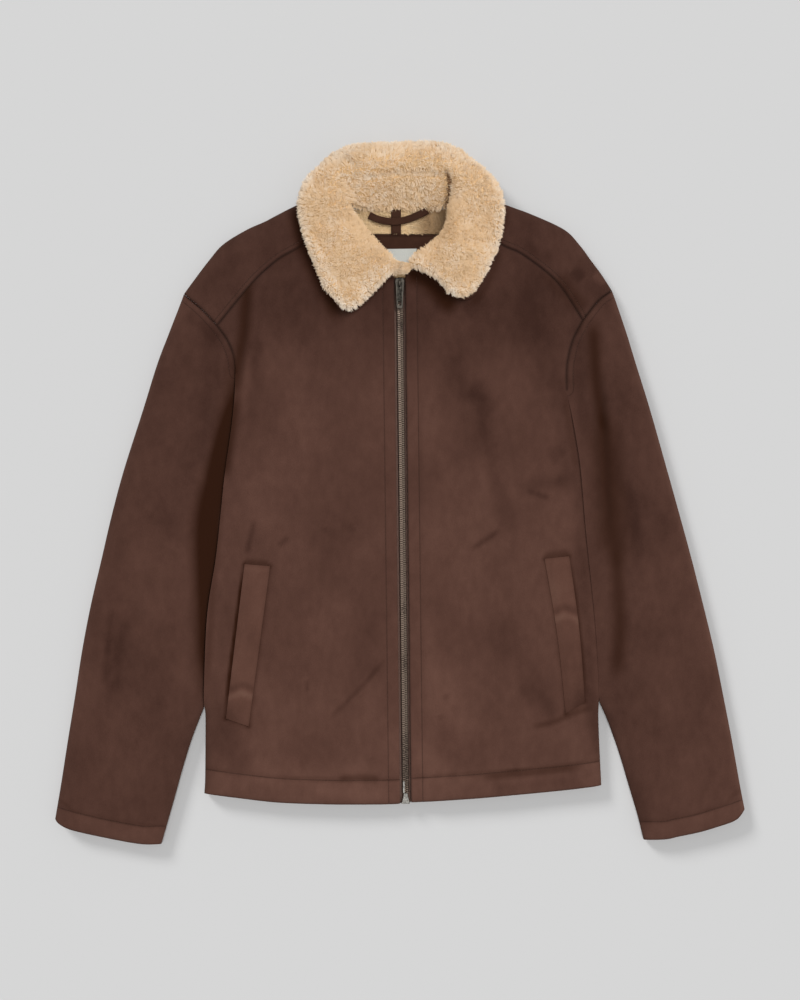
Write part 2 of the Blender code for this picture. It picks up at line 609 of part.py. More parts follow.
def make_tab():
    """Pull tab, lying down the zip from its bar; its origin is on the hinge."""
    middle = float(zip_x(HINGE_Y))
    y = HINGE_Y - np.array([-1.0, EYE_FAR + 2, TAB_LENGTH - 2, TAB_LENGTH])
    half = np.array([TAB_HALF_WIDTH, TAB_HALF_WIDTH, TAB_END_HALF, TAB_END_HALF - 1.2])
    plan = np.empty((4, 2, 2))
    plan[:, :, 0] = middle + half[:, None] * np.array([-1.0, 1.0])
    plan[:, :, 1] = y[:, None]
    tab = slab("zip_pull_tab", np.dstack([plan, np.full((4, 2), HINGE_Z + TAB_THICK / 2)]),
               np.dstack([plan, np.full((4, 2), HINGE_Z - TAB_THICK / 2)]), METAL, 0.35, 1.0)
    holes = ((EYE_HALF_WIDTH, EYE_NEAR, EYE_FAR), (TAB_HOLE_HALF, TAB_HOLE_NEAR, TAB_HOLE_FAR))
    for half_width, near, far in holes:
        cut = helper(*box_at(middle, HINGE_Y - (near + far) / 2, HINGE_Z,
                             2 * half_width, far - near, 4 * TAB_THICK))
        boolean(tab, cut, "DIFFERENCE")
    hinge = place((middle, HINGE_Y, HINGE_Z))
    tab.data.transform(Matrix.Translation(-hinge))
    tab.location = hinge


def make_neck():
    """What shows inside the collar: pile lining, facing band, tape, bare label and hanger loop."""
    colours = {"neck_lining": TEDDY, "neck_facing": SUEDE, "neck_tape": SUEDE, "neck_label": LABEL}
    for name, (corners, low, high) in NECK.items():
        outline = np.array(corners, float)
        x, y = outline.T
        if np.sum(x * np.roll(y, -1) - np.roll(x, -1) * y) < 0:
            outline = outline[::-1]
        panel(name, outline, flat(high), flat(low), colours[name], ((), ()), (400, 400))
    route = smooth_curve(LOOP, 8.0)
    along = np.gradient(route[:, :2], axis=0)
    along /= np.linalg.norm(along, axis=1)[:, None]
    side = np.column_stack([-along[:, 1], along[:, 0]]) * LOOP_WIDTH / 2
    grid = np.empty((len(route), 2, 3))
    for column, sign in enumerate((-1, 1)):
        grid[:, column, :2] = route[:, :2] + sign * side
        grid[:, column, 2] = route[:, 2]
    slab("hanger_loop", grid + (0, 0, LOOP_THICK), grid, SUEDE)


def main():
    clear_scene()
    make_back()
    for side in ("right", "left"):
        make_side(side)
        make_welt(side)
    make_collar()
    make_neck()
    make_zip()
    make_slider()
    make_tab()


main()
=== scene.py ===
"""Looks for the zipped jacket of bonded faux suede and teddy pile, laid flat on its back.

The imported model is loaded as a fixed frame. Every cloth panel, the pile, the zip and the trims are made again
here as surfaces worked out with numpy, in the places of the frame's solids. Tables are in millimetres, the
wearer's right lies at -X and the collar at +Y.
"""
import json
import math

import bpy
import numpy as np
from bpy.props import FloatProperty, FloatVectorProperty, IntProperty, PointerProperty
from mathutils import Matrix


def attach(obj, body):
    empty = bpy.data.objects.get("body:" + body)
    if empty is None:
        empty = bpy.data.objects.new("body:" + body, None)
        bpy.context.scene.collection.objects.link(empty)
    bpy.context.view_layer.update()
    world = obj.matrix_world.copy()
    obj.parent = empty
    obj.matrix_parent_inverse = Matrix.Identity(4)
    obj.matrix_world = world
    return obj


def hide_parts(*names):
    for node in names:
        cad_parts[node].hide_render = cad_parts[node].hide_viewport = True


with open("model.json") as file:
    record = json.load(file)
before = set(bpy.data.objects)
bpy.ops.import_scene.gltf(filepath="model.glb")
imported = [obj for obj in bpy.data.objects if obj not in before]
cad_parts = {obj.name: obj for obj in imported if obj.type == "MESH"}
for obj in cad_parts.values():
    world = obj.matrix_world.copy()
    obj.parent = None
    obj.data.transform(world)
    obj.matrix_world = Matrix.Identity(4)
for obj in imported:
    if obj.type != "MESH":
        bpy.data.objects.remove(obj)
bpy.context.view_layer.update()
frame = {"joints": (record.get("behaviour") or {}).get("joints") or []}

bl_info = {
    "name": "Zipped Jacket",
    "version": (1, 0, 0),
    "blender": (4, 5, 0),
    "location": "View3D > Sidebar > Jacket",
    "description": "Makes a zipped faux suede jacket with a teddy collar, laid flat",
    "category": "Add Mesh",
}

MM = 0.001
PLAN_MIDDLE = np.array([-1.0, 0.0, 0.0])     # the tables' middle in plan, which is put at the origin
HINGE = next(joint for joint in frame["joints"] if joint["name"] == "pull_tab_hinge")
TAB_HINGE = np.array(HINGE["pos_m"]) / MM + PLAN_MIDDLE
FAR = 60.0           # a distance at which no seam or stitching shows

# ----------------------------------------- the garment's tables, as in the part's source to within 4 mm

BACK_WALL, SEAM_GAP = 8.0, 0.3
MATE = BACK_WALL + SEAM_GAP
FRONT_CROWN, SLEEVE_CROWN, CUFF_CROWN = 20.5, 24.0, 20.0
EDGE_LOW, EDGE_HIGH = 5.0, 10.5
BODY_ROUND, SLEEVE_ROUND, UNDER_ROUND = 24.0, 34.0, 13.0
HEM_ROUND, HEM_DROP = 7.0, 4.0
HOLLOW, HOLLOW_RUN = 3.8, 60.0
SEAM_ALLOWANCE = 12.0
EDGE_LIFT = 0.94     # share of the fall towards a seam that is left out where sleeve and body press together
ZIP_TOP, ZIP_FOOT = (-1.0, 247.0), (6.0, -355.0)
ZIP_HALF_GAP = 6.5
FRONT_EDGE_DROP, FRONT_EDGE_RUN = 3.0, 25.0

# Seam curves, one pair of tables for each side: (x, y) along the seam
SEAMS = {
    "right": {
        "side": [(-225.6, -345.6), (-224.6, -325), (-224.2, -256), (-224.8, -239), (-221, -143), (-211, -76),
                 (-205.5, -26), (-200.5, 22), (-193, 75), (-189.5, 110), (-188.5, 137.5)],
        "armhole_low": [(-188.5, 137.5), (-191.5, 157), (-199, 175), (-210.5, 191.5)],
        "armhole_high": [(-210.5, 191.5), (-227, 209), (-249, 228)],
        "ridge": [(-249, 228), (-245.5, 233), (-233, 250), (-220, 267), (-204, 285.2), (-177.2, 301.9),
                  (-156, 311.4), (-143.4, 318.1), (-118, 330.8), (-90, 341)],
        "yoke": [(-210.5, 191.5), (-189, 218), (-168, 242.5), (-154, 256), (-138, 269), (-113, 283),
                 (-66, 309)],
        "neck_high": [(-90, 341), (-80, 327), (-66, 309)],
        "neck_low": [(-66, 309), (-40, 289), (-19, 268), (-7.6, 250)],
        "back_neck": [(-90, 341), (-70, 328), (-45, 324.5), (0, 324.5)],
        "hem": [(-0.5, -357.5), (-15, -358), (-77, -358), (-138, -356), (-184, -351), (-225.6, -345.6)],
        "sleeve_outer": [(-249, 228), (-253.6, 215.6), (-267, 181), (-280, 146.6), (-296, 95), (-318, 26),
                         (-332, -26), (-344, -77.6), (-356, -129), (-366, -181), (-374, -233),
                         (-382.4, -284.6), (-390.4, -336), (-397, -375)],
        "cuff": [(-397, -375), (-392, -380.6), (-378, -387.2), (-349, -394.2), (-302, -403), (-275, -404)],
        "sleeve_inner": [(-275, -404), (-260.6, -353.6), (-251, -319), (-240.4, -284.6), (-229.6, -256),
                         (-226.2, -246), (-225.8, -232), (-222.2, -143), (-212, -76), (-206.5, -26),
                         (-201.5, 22), (-194, 75), (-190.2, 110), (-188.5, 137.5)],
    },
    "left": {
        "side": [(230.9, -336.3), (228.6, -290), (227.4, -256), (226.9, -239), (226.2, -198), (222, -140),
                 (214, -63), (211, -31), (205.5, 32), (197, 85), (190.6, 118)],
        "armhole_low": [(190.6, 118), (190.2, 135), (191.5, 151.5), (197.5, 175), (209, 197.5)],
        "armhole_high": [(209, 197.5), (227, 220), (243, 232)],
        "ridge": [(243, 232), (231.4, 250), (219, 266.8), (206, 284.4), (188.6, 302), (153.2, 318.7),
                  (123, 330), (92, 342)],
        "yoke": [(209, 197.5), (186, 233), (168, 252), (138, 274), (118, 283), (70, 308)],
        "neck_high": [(92, 342), (82, 328), (70, 308)],
        "neck_low": [(70, 308), (45, 289), (20, 268), (5.5, 250)],
        "back_neck": [(92, 342), (72, 329), (45, 325), (0, 324.5)],
        "hem": [(12.5, -356), (77.5, -352), (139, -346.6), (170, -343.7), (201, -340.4), (230.9, -336.3)],
        "sleeve_outer": [(243, 232), (249, 215.6), (260.5, 181), (271, 146.6), (287, 95), (306.5, 26),
                         (321, -26), (335, -77.6), (348, -129), (360.5, -181), (371, -233), (381, -284.6),
                         (390.2, -336), (395.6, -364)],
        "cuff": [(395.6, -364), (385.6, -375.4), (367.5, -382.6), (343, -390), (318, -395.2), (305, -398),
                 (279.6, -399)],
        "sleeve_inner": [(279.6, -399), (272.6, -371), (262.2, -336), (252.1, -302), (240.1, -267.5),
                         (231.4, -246), (228.4, -236), (227, -198), (223, -140), (215, -63), (212, -31),
                         (206.5, 32), (197.8, 85), (190.6, 118)],
    },
}

# Largest folds: (side, layer, start, end, half width, depth), troughs positive
FOLDS = [
    ("left", "sleeve", (226, 150), (236, -70), 11.0, 4.0),
    ("left", "sleeve", (262, 120), (322, -120), 16.0, 1.6),
    ("right", "sleeve", (-236, 150), (-262, 20), 15.0, 1.8),
    ("right", "sleeve", (-330, -120), (-268, -170), 16.0, 1.8),
    ("left", "body", (150, 150), (92, 60), 22.0, 1.4),
    ("right", "body", (-150, 160), (-96, 50), 22.0, 1.4),
    ("right", "body", (-50, -345), (-36, -300), 12.0, 1.8),
]

# Collar sections from the right front end round the back to the left front end:
# (inner x, inner y, outer x, outer y, base at inner, base at outer, inner lip, crest place, crest, outer lip)
COLLAR = [
    (-4.5, 258.5, -60, 205.5, 23.4, 23.4, 32, 0.40, 41, 29),
    (-12, 272, -72, 210.5, 23.4, 23.4, 33, 0.34, 42, 29),
    (-22, 284, -86, 236, 23.4, 23.4, 33, 0.32, 43, 29),
    (-34, 298, -102, 268, 23.4, 23.4, 33, 0.32, 44, 29),
    (-46, 312, -114, 303, 23.4, 23.4, 33, 0.34, 45, 30),
    (-55, 325.5, -118.5, 331, 23.4, 23.4, 32, 0.40, 45, 31),
    (-52, 328, -109, 360, 22.0, 15.0, 28, 0.52, 45, 26),
    (-44, 327.5, -86, 383, 11.0, 0.0, 20, 0.62, 45, 18),
    (-26, 326.5, -50, 400, 0.0, 0.0, 15, 0.68, 46, 14),
    (0, 326, -2, 403, 0.0, 0.0, 14, 0.69, 46, 14),
    (26, 326.5, 50, 402, 0.0, 0.0, 15, 0.68, 46, 14),
    (46, 328, 86, 384, 11.0, 0.0, 20, 0.60, 45, 18),
    (53, 329, 110, 358, 22.0, 15.0, 28, 0.46, 46, 26),
    (53, 322, 120, 330, 23.4, 23.4, 35, 0.26, 46, 31),
    (51, 308, 116, 291, 23.4, 23.4, 35, 0.24, 45, 30),
    (44, 295, 104, 256, 23.4, 23.4, 34, 0.28, 44, 29),
    (32, 285, 89, 229, 23.4, 23.4, 33, 0.32, 43, 29),
    (17, 275, 76, 219.5, 23.4, 23.4, 33, 0.36, 42, 29),
    (4.5, 262, 60, 222, 23.4, 23.4, 32, 0.42, 40, 29),
]
COLLAR_ROUND, COLLAR_EDGE_RISE = 0.13, 8.0
WING_ROWS = {"right": (0, 5), "left": (13, 18)}
UNDER_COLLAR_SPAN = (0.14, 0.985)
WELTS = {
    "right": [(-178.6, -82), (-149.4, -84.4), (-174, -268), (-200, -259)],
    "left": [(193, -73), (165, -76), (189, -253), (211, -240)],
}
WELT_BEND = {"right": 0.0, "left": 2.6}
WELT_LIFT = 0.4
PRESS = 0.9      # how far the edges of sleeve and body are pushed at each other, to close the gap in the looks
LOOP = [(-36, 318.5, 11.9), (-25, 313.5, 12.9), (-10, 311, 13.3), (5, 312.8, 13.1), (19, 318, 12.6),
        (31, 324, 11.9)]

# ------------------------------------------------------------------ what the solids leave to this script

# Rows of topstitching, by how far they lie from their edge or seam
ZIP_STITCH, HEM_STITCH, CUFF_STITCH, ARMHOLE_STITCH, YOKE_STITCH = 13.0, 28.0, 21.0, 7.5, 5.5

# Creases of each panel: (route, half width, depth), troughs positive and ridges negative
CREASES = {
    ("right", "body"): [
        ([(-176, 236), (-182, 166), (-188, 118)], 8, 2.6),
        ([(-150, 225), (-160, 150), (-158, 60)], 26, 1.3),
        ([(-182, 60), (-160, -20), (-120, -60)], 20, 0.9),
        ([(-150, -30), (-90, -46), (-30, -40)], 18, 0.7),
        ([(-92, -262), (-48, -220), (-14, -176)], 9, 1.0),
        ([(-120, 120), (-112, 20), (-116, -110)], 22, -0.9),
        ([(-60, 150), (-66, 20), (-54, -120)], 24, -0.8),
        ([(-215, -190), (-205, -290), (-200, -330)], 14, 1.0),
        ([(-130, -290), (-110, -320), (-104, -344)], 10, 0.9),
    ],
    ("left", "body"): [
        ([(84, 138), (112, 50), (150, -60), (180, -140)], 26, 1.6),
        ([(150, 140), (176, 60), (196, -20)], 20, 1.0),
        ([(28, -158), (78, -208), (134, -258)], 10, 1.2),
        ([(72, -70), (96, -56), (116, -40)], 7, 1.0),
        ([(50, 170), (56, 60), (52, -90)], 24, -0.8),
        ([(120, 10), (150, 0), (190, 18)], 10, 1.2),
        ([(60, -296), (57, -330), (55, -348)], 9, 1.3),
        ([(160, -280), (150, -312), (148, -338)], 11, 0.9),
    ],
    ("left", "sleeve"): [
        ([(226, 150), (232, 80), (243, 10), (247, -60), (252, -147), (244, -200)], 17, 1.6),
        ([(262, 150), (270, 60), (286, -30)], 22, -1.2),
        ([(290, 0), (300, -110), (312, -210)], 20, 1.1),
        ([(345, -150), (330, -230), (318, -320)], 22, 0.9),
        ([(262, -210), (300, -240), (350, -250)], 18, 0.8),
        ([(300, -360), (320, -330), (352, -318)], 12, 1.0),
    ],
    ("right", "sleeve"): [
        ([(-214, 150), (-226, 70), (-232, -20), (-240, -110)], 14, 1.4),
        ([(-262, 170), (-278, 80), (-292, 10)], 20, 1.2),
        ([(-300, -60), (-316, -150), (-330, -240)], 18, 1.3),
        ([(-262, -60), (-272, -160), (-290, -260)], 22, -1.0),
        ([(-350, -180), (-300, -200), (-250, -190)], 16, 0.9),
        ([(-372, -300), (-330, -320), (-296, -350)], 14, 0.9),
    ],
}

# Where each panel's tone is stroked darker (positive) or lighter: partly the nap's own tone, and partly painted
# shade and painted highlight of folds, hollows and the cloth beside welts and seams: (route, half width,
# strength)
NAP_AND_SHADE_STROKES = {
    ("left", "body"): [
        ([(192, 20), (176, 10), (158, 10), (140, 12)], 13, 0.30),
        ([(172, -7), (156, -2), (142, 3)], 6, 0.46),
        ([(168, 54), (180, 30)], 8, 0.26),
        ([(60, 190), (70, 100), (80, 20)], 42, 0.18),
        ([(214, -215), (222, -262), (225, -312)], 15, 0.46),
        ([(174, 52), (190, 42)], 10, 0.26),
        ([(80, -66), (98, -54), (115, -42)], 5, 0.50),
        ([(58, 164), (66, 132), (84, 100)], 20, 0.24),
        ([(110, 250), (150, 190), (190, 120)], 40, 0.16),
        ([(112, -130), (140, -205), (196, -262)], 34, 0.26),
        ([(30, -120), (34, -220), (34, -312)], 18, -0.16),
        ([(92, 128), (94, 90), (110, 10), (134, -62)], 17, 0.32),
        ([(78, 124), (96, 108), (112, 92)], 19, 0.24),
        ([(51, -230), (53, -238)], 7, 0.26),
        ([(44, -254), (47, -262)], 6, 0.24),
        ([(40, 232), (86, 214), (96, 206)], 26, 0.30),
        ([(206, 60), (206, -20), (208, -90), (214, -170), (216, -262)], 15, 0.30),
        ([(16, -296), (50, -318), (84, -340)], 22, -0.22),
        ([(100, -340), (150, -336), (205, -328)], 13, 0.28),
        ([(100, -300), (150, -300), (200, -290)], 20, 0.12),
        ([(130, -222), (160, -235), (176, -262)], 14, 0.18),
        ([(30, -180), (56, -240), (84, -290)], 28, -0.20),
        ([(46, 120), (44, 20), (50, -90)], 26, -0.10),
        ([(184, 150), (188, 100), (190, 50), (194, -10)], 20, 0.32),
    ],
    ("right", "body"): [
        ([(-160, 180), (-160, 110)], 14, 0.14),
        ([(-80, -100), (-90, -280)], 52, -0.14),
        ([(-167, -30), (-172, -52), (-177, -74)], 6, 0.40),
        ([(-140, -62), (-128, -50)], 6, 0.42),
        ([(-88, -46), (-86, -40)], 8, 0.26),
        ([(-58, -44), (-52, -40)], 8, 0.22),
        ([(-107, -214), (-107, -230)], 4, 0.36),
        ([(-84, -262), (-48, -226), (-16, -190)], 5, 0.34),
        ([(-30, -206), (-40, -250), (-56, -290)], 24, -0.22),
        ([(-20, -318), (-90, -326), (-180, -318)], 24, -0.24),
        ([(-204, -230), (-196, -290), (-166, -324)], 28, 0.28),
        ([(-110, -340), (-60, -344), (-10, -345)], 13, -0.30),
        ([(-112, 240), (-70, 200), (-60, 192)], 26, 0.12),
        ([(-166, 190), (-166, 130), (-176, 70)], 15, 0.30),
        ([(-150, -40), (-90, -52), (-40, -44)], 22, 0.10),
        ([(-120, 150), (-112, 60)], 30, -0.08),
    ],
    ("right", "sleeve"): [
        ([(-262, -62), (-272, -84)], 20, 0.16),
        ([(-242, 38), (-236, 6)], 14, 0.20),
        ([(-236, 190), (-240, 130)], 26, 0.12),
        ([(-256, 205), (-292, 100)], 40, 0.10),
        ([(-314, -130), (-324, -190), (-334, -250)], 15, 0.30),
        ([(-330, -130), (-336, -180), (-338, -228)], 7, 0.30),
        ([(-222, 200), (-214, 150), (-222, 80), (-236, 20)], 24, 0.24),
        ([(-250, 205), (-225, 190), (-208, 172)], 17, 0.34),
        ([(-262, -10), (-268, -70), (-276, -120)], 28, 0.12),
        ([(-290, -160), (-272, -100), (-268, -50)], 22, -0.14),
        ([(-350, -300), (-320, -330), (-300, -350)], 26, -0.08),
    ],
    ("left", "sleeve"): [
        ([(330, -200), (350, -300)], 40, 0.08),
        ([(210, 196), (206, 150), (208, 100), (216, 40)], 16, 0.24),
        ([(262, 30), (270, -30), (278, -80)], 20, 0.16),
        ([(268, 150), (278, 60)], 16, -0.10),
        ([(258, 20), (268, -40), (274, -90)], 12, 0.24),
    ],
    ("left", "yoke"): [
        ([(222, 252), (236, 240)], 11, -0.40),
        ([(196, 256), (210, 244)], 12, 0.34),
        ([(176, 264), (140, 286)], 12, 0.16),
        ([(112, 316), (92, 300)], 14, 0.30),
    ],
    ("right", "yoke"): [
        ([(-232, 236), (-180, 270)], 14, 0.12),
        ([(-110, 316), (-90, 300)], 14, 0.30),
    ],
}

# Deep shade of each panel, where cloth sinks against cloth: (route, half width, strength)
VALLEYS = {
    ("right", "sleeve"): [
        ([(-175, 140), (-185, 90), (-197, 48), (-210, 12), (-219, -22), (-221, -60), (-219, -135),
          (-217, -193), (-208, -262)], 27, 1.46),
        ([(-177, 190), (-186, 140), (-193, 104), (-204, 62), (-211, 0)], 20, 0.62),
    ],
    ("right", "body"): [
        ([(-173, 268), (-177, 221), (-180, 181), (-184, 160), (-188, 136), (-190, 96)], 13, 0.80),
        ([(-188, 116), (-193, 76), (-199, 40), (-203, 10)], 12, 0.78),
        ([(-203, 20), (-210, -50), (-216, -120), (-221, -200), (-223, -250)], 8, 0.34),
        ([(-150, 268), (-128, 280), (-112, 286)], 14, 0.34),
        ([(-180, -84), (-185, -124), (-188.6, -151), (-195, -200), (-200.6, -250)], 4.4, 0.62),
        ([(-182, -78.5), (-166, -79.6), (-148, -81)], 6, 0.42),
        ([(-114, 303), (-102, 266), (-86, 234), (-73, 209), (-60, 200)], 19, 0.98),
        ([(-66, 201), (-40, 222), (-14, 248), (-4, 258)], 8, 0.40),
        ([(-76, -328), (-46, -327), (-20, -328)], 8, 0.44),
    ],
    ("left", "body"): [
        ([(188, 118), (192, 85), (198, 50), (202, 20)], 7, 0.30),
        ([(195, -80), (200, -124), (205, -165), (209.6, -205), (213, -238)], 4.4, 0.26),
        ([(162, -72.5), (178, -70), (196, -69)], 6.5, 0.36),
        ([(146, -269), (172, -264), (192, -256), (212, -248), (224, -247)], 6, 0.46),
        ([(0, 252), (14, 250), (28, 245), (41, 232), (54, 218), (68, 208)], 19, 1.10),
        ([(70, 212), (88, 222), (104, 250), (116, 285)], 8, 0.40),
        ([(160, 256), (186, 228), (202, 206)], 11, 0.30),
        ([(84, -327), (116, -324), (150, -321), (186, -317), (214, -313)], 8, 0.55),
    ],
    ("left", "sleeve"): [
        ([(220, 205), (222, 165), (224, 125), (229, 95), (234, 60)], 13, 0.78),
        ([(233, 100), (240, 40), (245, -15), (247, -60), (247, -92)], 26, 0.62),
        ([(222, 84), (227, 30), (231, -20), (234, -76)], 22, 0.30),
        ([(246, -52), (249, -110), (251, -150), (248, -200), (243, -222)], 15, 0.66),
        ([(222, 226), (208, 204), (200, 180)], 10, 0.40),
    ],
    ("right", "yoke"): [
        ([(-119, 335), (-116, 303), (-104, 270), (-92, 246)], 17, 0.95),
    ],
    ("left", "yoke"): [
        ([(122, 335), (120, 310), (110, 270)], 7, 0.35),
        ([(180, 252), (198, 224), (214, 208)], 14, 0.50),
    ],
}

# Folds and hollows of the collar: (route, half width, depth); a swell has a depth under 0
COLLAR_FOLDS = [
    ([(-50, 357), (-18, 363), (20, 364), (54, 362)], 5.5, 4.0),
    ([(56, 368), (58, 350), (57, 332), (52, 312)], 5.0, 10.0),
    ([(-46, 356), (-52, 342), (-52, 324)], 6.0, 3.0),
    ([(-38, 344), (0, 346), (44, 344)], 20.0, -1.0),
    ([(-72, 362), (-58, 352)], 10.0, 3.0),
    ([(-95, 262), (-60, 236)], 9.0, 1.6),
    ([(84, 268), (48, 252)], 9.0, 1.8),
    ([(-100, 330), (-70, 318)], 9.0, 1.4),
    ([(102, 322), (72, 306)], 9.0, 1.6),
]
PILE_DEPTH = 3.2          # how far the knitted ground lies under the pile's face
PILE_SOFT, PILE_UP = 0.86, 3.2      # shares of the ground's direction and of straight up in the pile's normals
PILE_CUTS = (0.345, 0.645)          # where along the collar its pile is parted into right, back and left
# A strand's three rings and its tip: share of its length, and of its width
STRAND_RINGS = ((0.0, 1.0), (0.42, 1.1), (0.78, 0.8), (1.0, 0.0))
CRIMP, CRIMP_TURN = 0.85, 5.2       # how far a strand's crimp goes out, and its turn from root to tip
LOCK_PULL = 0.32                    # how far tips are drawn to the middle of their lock
WINGS_MEET, MEET_REACH = (1.3, 255.0, 34.0), 15.0      # where the wings' pile closes over the zip's top
# How far the ground is drawn in: at the wings' front ends, at the inner edges (mid wing and front end), and at
# the outer edge, by how high up in plan that lies
WING_END_INSET = {"right": 1.8, "left": 2.4}
NECK_INSET = {"right": (6.0, 3.0), "left": (5.5, 5.5)}
RIM_INSET = {
    "right": ((206, 8.6), (216, 7.8), (226, 5.4), (234, 1.9), (241, 2.6), (249, 3.4), (262, 4.5), (290, 4.8),
              (336, 5.9), (360, 5.8), (374, 7.5), (386, 4.0), (397, 2.4), (401, 5.0), (404, 5.9)),
    "left": ((220, 9.0), (250, 8.2), (275, 6.4), (344, 6.6), (358, 6.8), (382, 8.2), (393, 6.5), (402, 5.2)),
}
WING_BOW = {"right": -0.6, "left": 9.0}      # how far each wing's front edge bows in from a straight line

# Where the pile lies in its own shade: (route, half width, strength)
COLLAR_SHADES = [
    ([(48, 374), (52, 364), (54, 350), (53, 332), (49, 312), (43, 300)], 4.4, 1.00),
    ([(-62, 384), (-52, 372), (-48, 360)], 7.0, 0.25),
    ([(4, 271), (2, 259), (-2, 248)], 2.6, 0.42),
]

# ------------------------------------------------------------------ plan curves and shares

def rounded(share):
    """Quarter-circle rise: the root of 1 less the square of what is left of the share."""
    t = np.clip(share, 0, 1)
    return np.sqrt(1 - (1 - t) ** 2)


def eased(share):
    """Smooth step: three times the square less twice the cube."""
    t = np.clip(share, 0, 1)
    return t * t * (3 - 2 * t)


def bell(share):
    """1 on a line and 0 from a full share away, eased between."""
    return 1 - eased(np.abs(share))


def spline(table, steps):
    """Catmull-Rom curve through a table's rows, column by column, read at a number of steps from row to row."""
    p = np.array(table, float)
    p = np.vstack([2 * p[0] - p[1], p, 2 * p[-1] - p[-2]])
    s = np.linspace(0, len(p) - 3, steps * (len(p) - 3) + 1)
    i = np.minimum(s.astype(int), len(p) - 4)
    t = (s - i)[:, None]
    a, b, c, d = p[i], p[i + 1], p[i + 2], p[i + 3]
    return 0.5 * (2 * b + (c - a) * t + (2 * a - 5 * b + 4 * c - d) * t ** 2 + (3 * b - a - 3 * c + d) * t ** 3)


def curve(table, step=4.0):
    """A smooth curve through a table's points, read again at even steps along its length."""
    fine = spline(table, 24)
    return walk(fine, np.linspace(0, length(fine), max(3, round(length(fine) / step) + 1)))


def length(line):
    """Length of a polyline."""
    return float(np.linalg.norm(np.diff(line, axis=0), axis=1).sum())


def distances(line):
    """How far along a polyline each of its corners lies."""
    return np.concatenate([[0], np.cumsum(np.linalg.norm(np.diff(line, axis=0), axis=1))])


def unit(arrows):
    """Arrows drawn to a length of 1; one without a length stays at nought."""
    return arrows / np.maximum(np.linalg.norm(arrows, axis=-1, keepdims=True), 1e-9)


def walk(line, places):
    """Points at given distances along a polyline, by straight blending between its corners."""
    return np.column_stack([np.interp(places, distances(line), axis) for axis in line.T])


def seam(side, *names):
    """One or more seams of a side, joined end to end."""
    runs = [curve(SEAMS[side][name]) for name in names]
    return np.vstack([runs[0]] + [run[1:] for run in runs[1:]])


def shifted(line, amount):
    """A line moved sideways to its left by amount, along its own normals."""
    run = unit(np.gradient(line, axis=0))
    return line + amount * np.column_stack([-run[:, 1], run[:, 0]])


def foot(points, line):
    """Each point is dropped onto every straight run of a polyline, and the nearest foot wins: gives the
    distance, how far along the line the foot lies (0 to 1) and the point's side, 1 for left of the line."""
    starts, runs = line[:-1], np.diff(line, axis=0)
    rel = points[:, None] - starts
    t = np.clip((rel * runs).sum(2) / np.maximum((runs ** 2).sum(1), 1e-9), 0, 1)
    gaps = np.linalg.norm(rel - t[..., None] * runs, axis=2)
    near, row = gaps.argmin(1), np.arange(len(points))
    cross = runs[near, 0] * rel[row, near, 1] - runs[near, 1] * rel[row, near, 0]
    return gaps[row, near], (near + t[row, near]) / len(runs), np.where(cross >= 0, 1.0, -1.0)


def gap(points, *lines):
    """Shortest plan distance from each point to any of the lines."""
    return np.min([foot(points, line)[0] for line in lines], axis=0)


def strokes(points, rows):
    """Sum of strokes, each a bell across its route that fades out towards the route's ends."""
    total = np.zeros(len(points))
    for route, half, strength in rows:
        reach, along, _ = foot(points, curve(route, 8.0))
        total += strength * (bell(reach / half) * eased(np.sin(math.pi * along) * 1.7))
    return total


def relief_rows(side, layer):
    """The largest folds and the creases of one panel, as strokes."""
    large = [([start, end], half, depth) for at_side, at_layer, start, end, half, depth in FOLDS
             if (at_side, at_layer) == (side, layer)]
    return large + CREASES[side, layer]


def ripple(points, size, seed):
    """Smooth random relief from -1 to 1: values drawn for a lattice of cells of the given size, blended with
    eased shares. Size may be a pair, for relief that is longer one way."""
    cells = np.random.default_rng(seed).uniform(-1, 1, (61, 61))
    place = points[:, :2] / np.array(size, float) + 500.5
    low = np.floor(place).astype(int)
    u, v = eased(place - low).T
    x, y = (low % 61).T
    nx, ny = (x + 1) % 61, (y + 1) % 61
    return ((1 - u) * (1 - v) * cells[x, y] + u * (1 - v) * cells[nx, y]
            + (1 - u) * v * cells[x, ny] + u * v * cells[nx, ny])


def cuff_line(side):
    """The cuff's line without its rounded corner: the rest of the cuff, carried straight on."""
    line = curve(SEAMS[side]["cuff"][2:])
    away = line[0] - line[4]
    return np.vstack([line[0] + 30 * away / np.linalg.norm(away), line])


def zip_x(y):
    """The zip's middle line, which leans a little from foot to top."""
    lean = (ZIP_TOP[0] - ZIP_FOOT[0]) / (ZIP_TOP[1] - ZIP_FOOT[1])
    return ZIP_FOOT[0] + lean * (np.asarray(y, float) - ZIP_FOOT[1])


# ------------------------------------------------------------------ surfaces and meshes

EDGE_PLACES = np.array([0.15, 1.0, 2.0, 3.3, 5.0, 7.2])


def stations(total, count):
    """Distances along a rail: close together near both ends, where cloth bends into its seams, then even."""
    inner = np.linspace(EDGE_PLACES[-1], total - EDGE_PLACES[-1], count - 2 * (len(EDGE_PLACES) - 1))
    return np.concatenate([EDGE_PLACES[:-1], inner, total - EDGE_PLACES[-2::-1]])


def coons(rails, corners, u, v):
    """Coons patch: both pairs of opposite rails are blended straight across, added, and the straight blend of
    the four corners is taken away. South and north run west to east, the others south to north."""
    s, e, n, w = rails
    sw, se, nw, ne = corners
    blend = (1 - u) * (1 - v) * sw + u * (1 - v) * se + (1 - u) * v * nw + u * v * ne
    return (1 - v) * s[None] + v * n[None] + (1 - u) * w[:, None] + u * e[:, None] - blend


def facing_up(plan):
    """A plan grid, turned over where need be so that its faces look up."""
    du, dv = plan[0, 1] - plan[0, 0], plan[1, 0] - plan[0, 0]
    return plan if du[0] * dv[1] - du[1] * dv[0] > 0 else plan[:, ::-1]


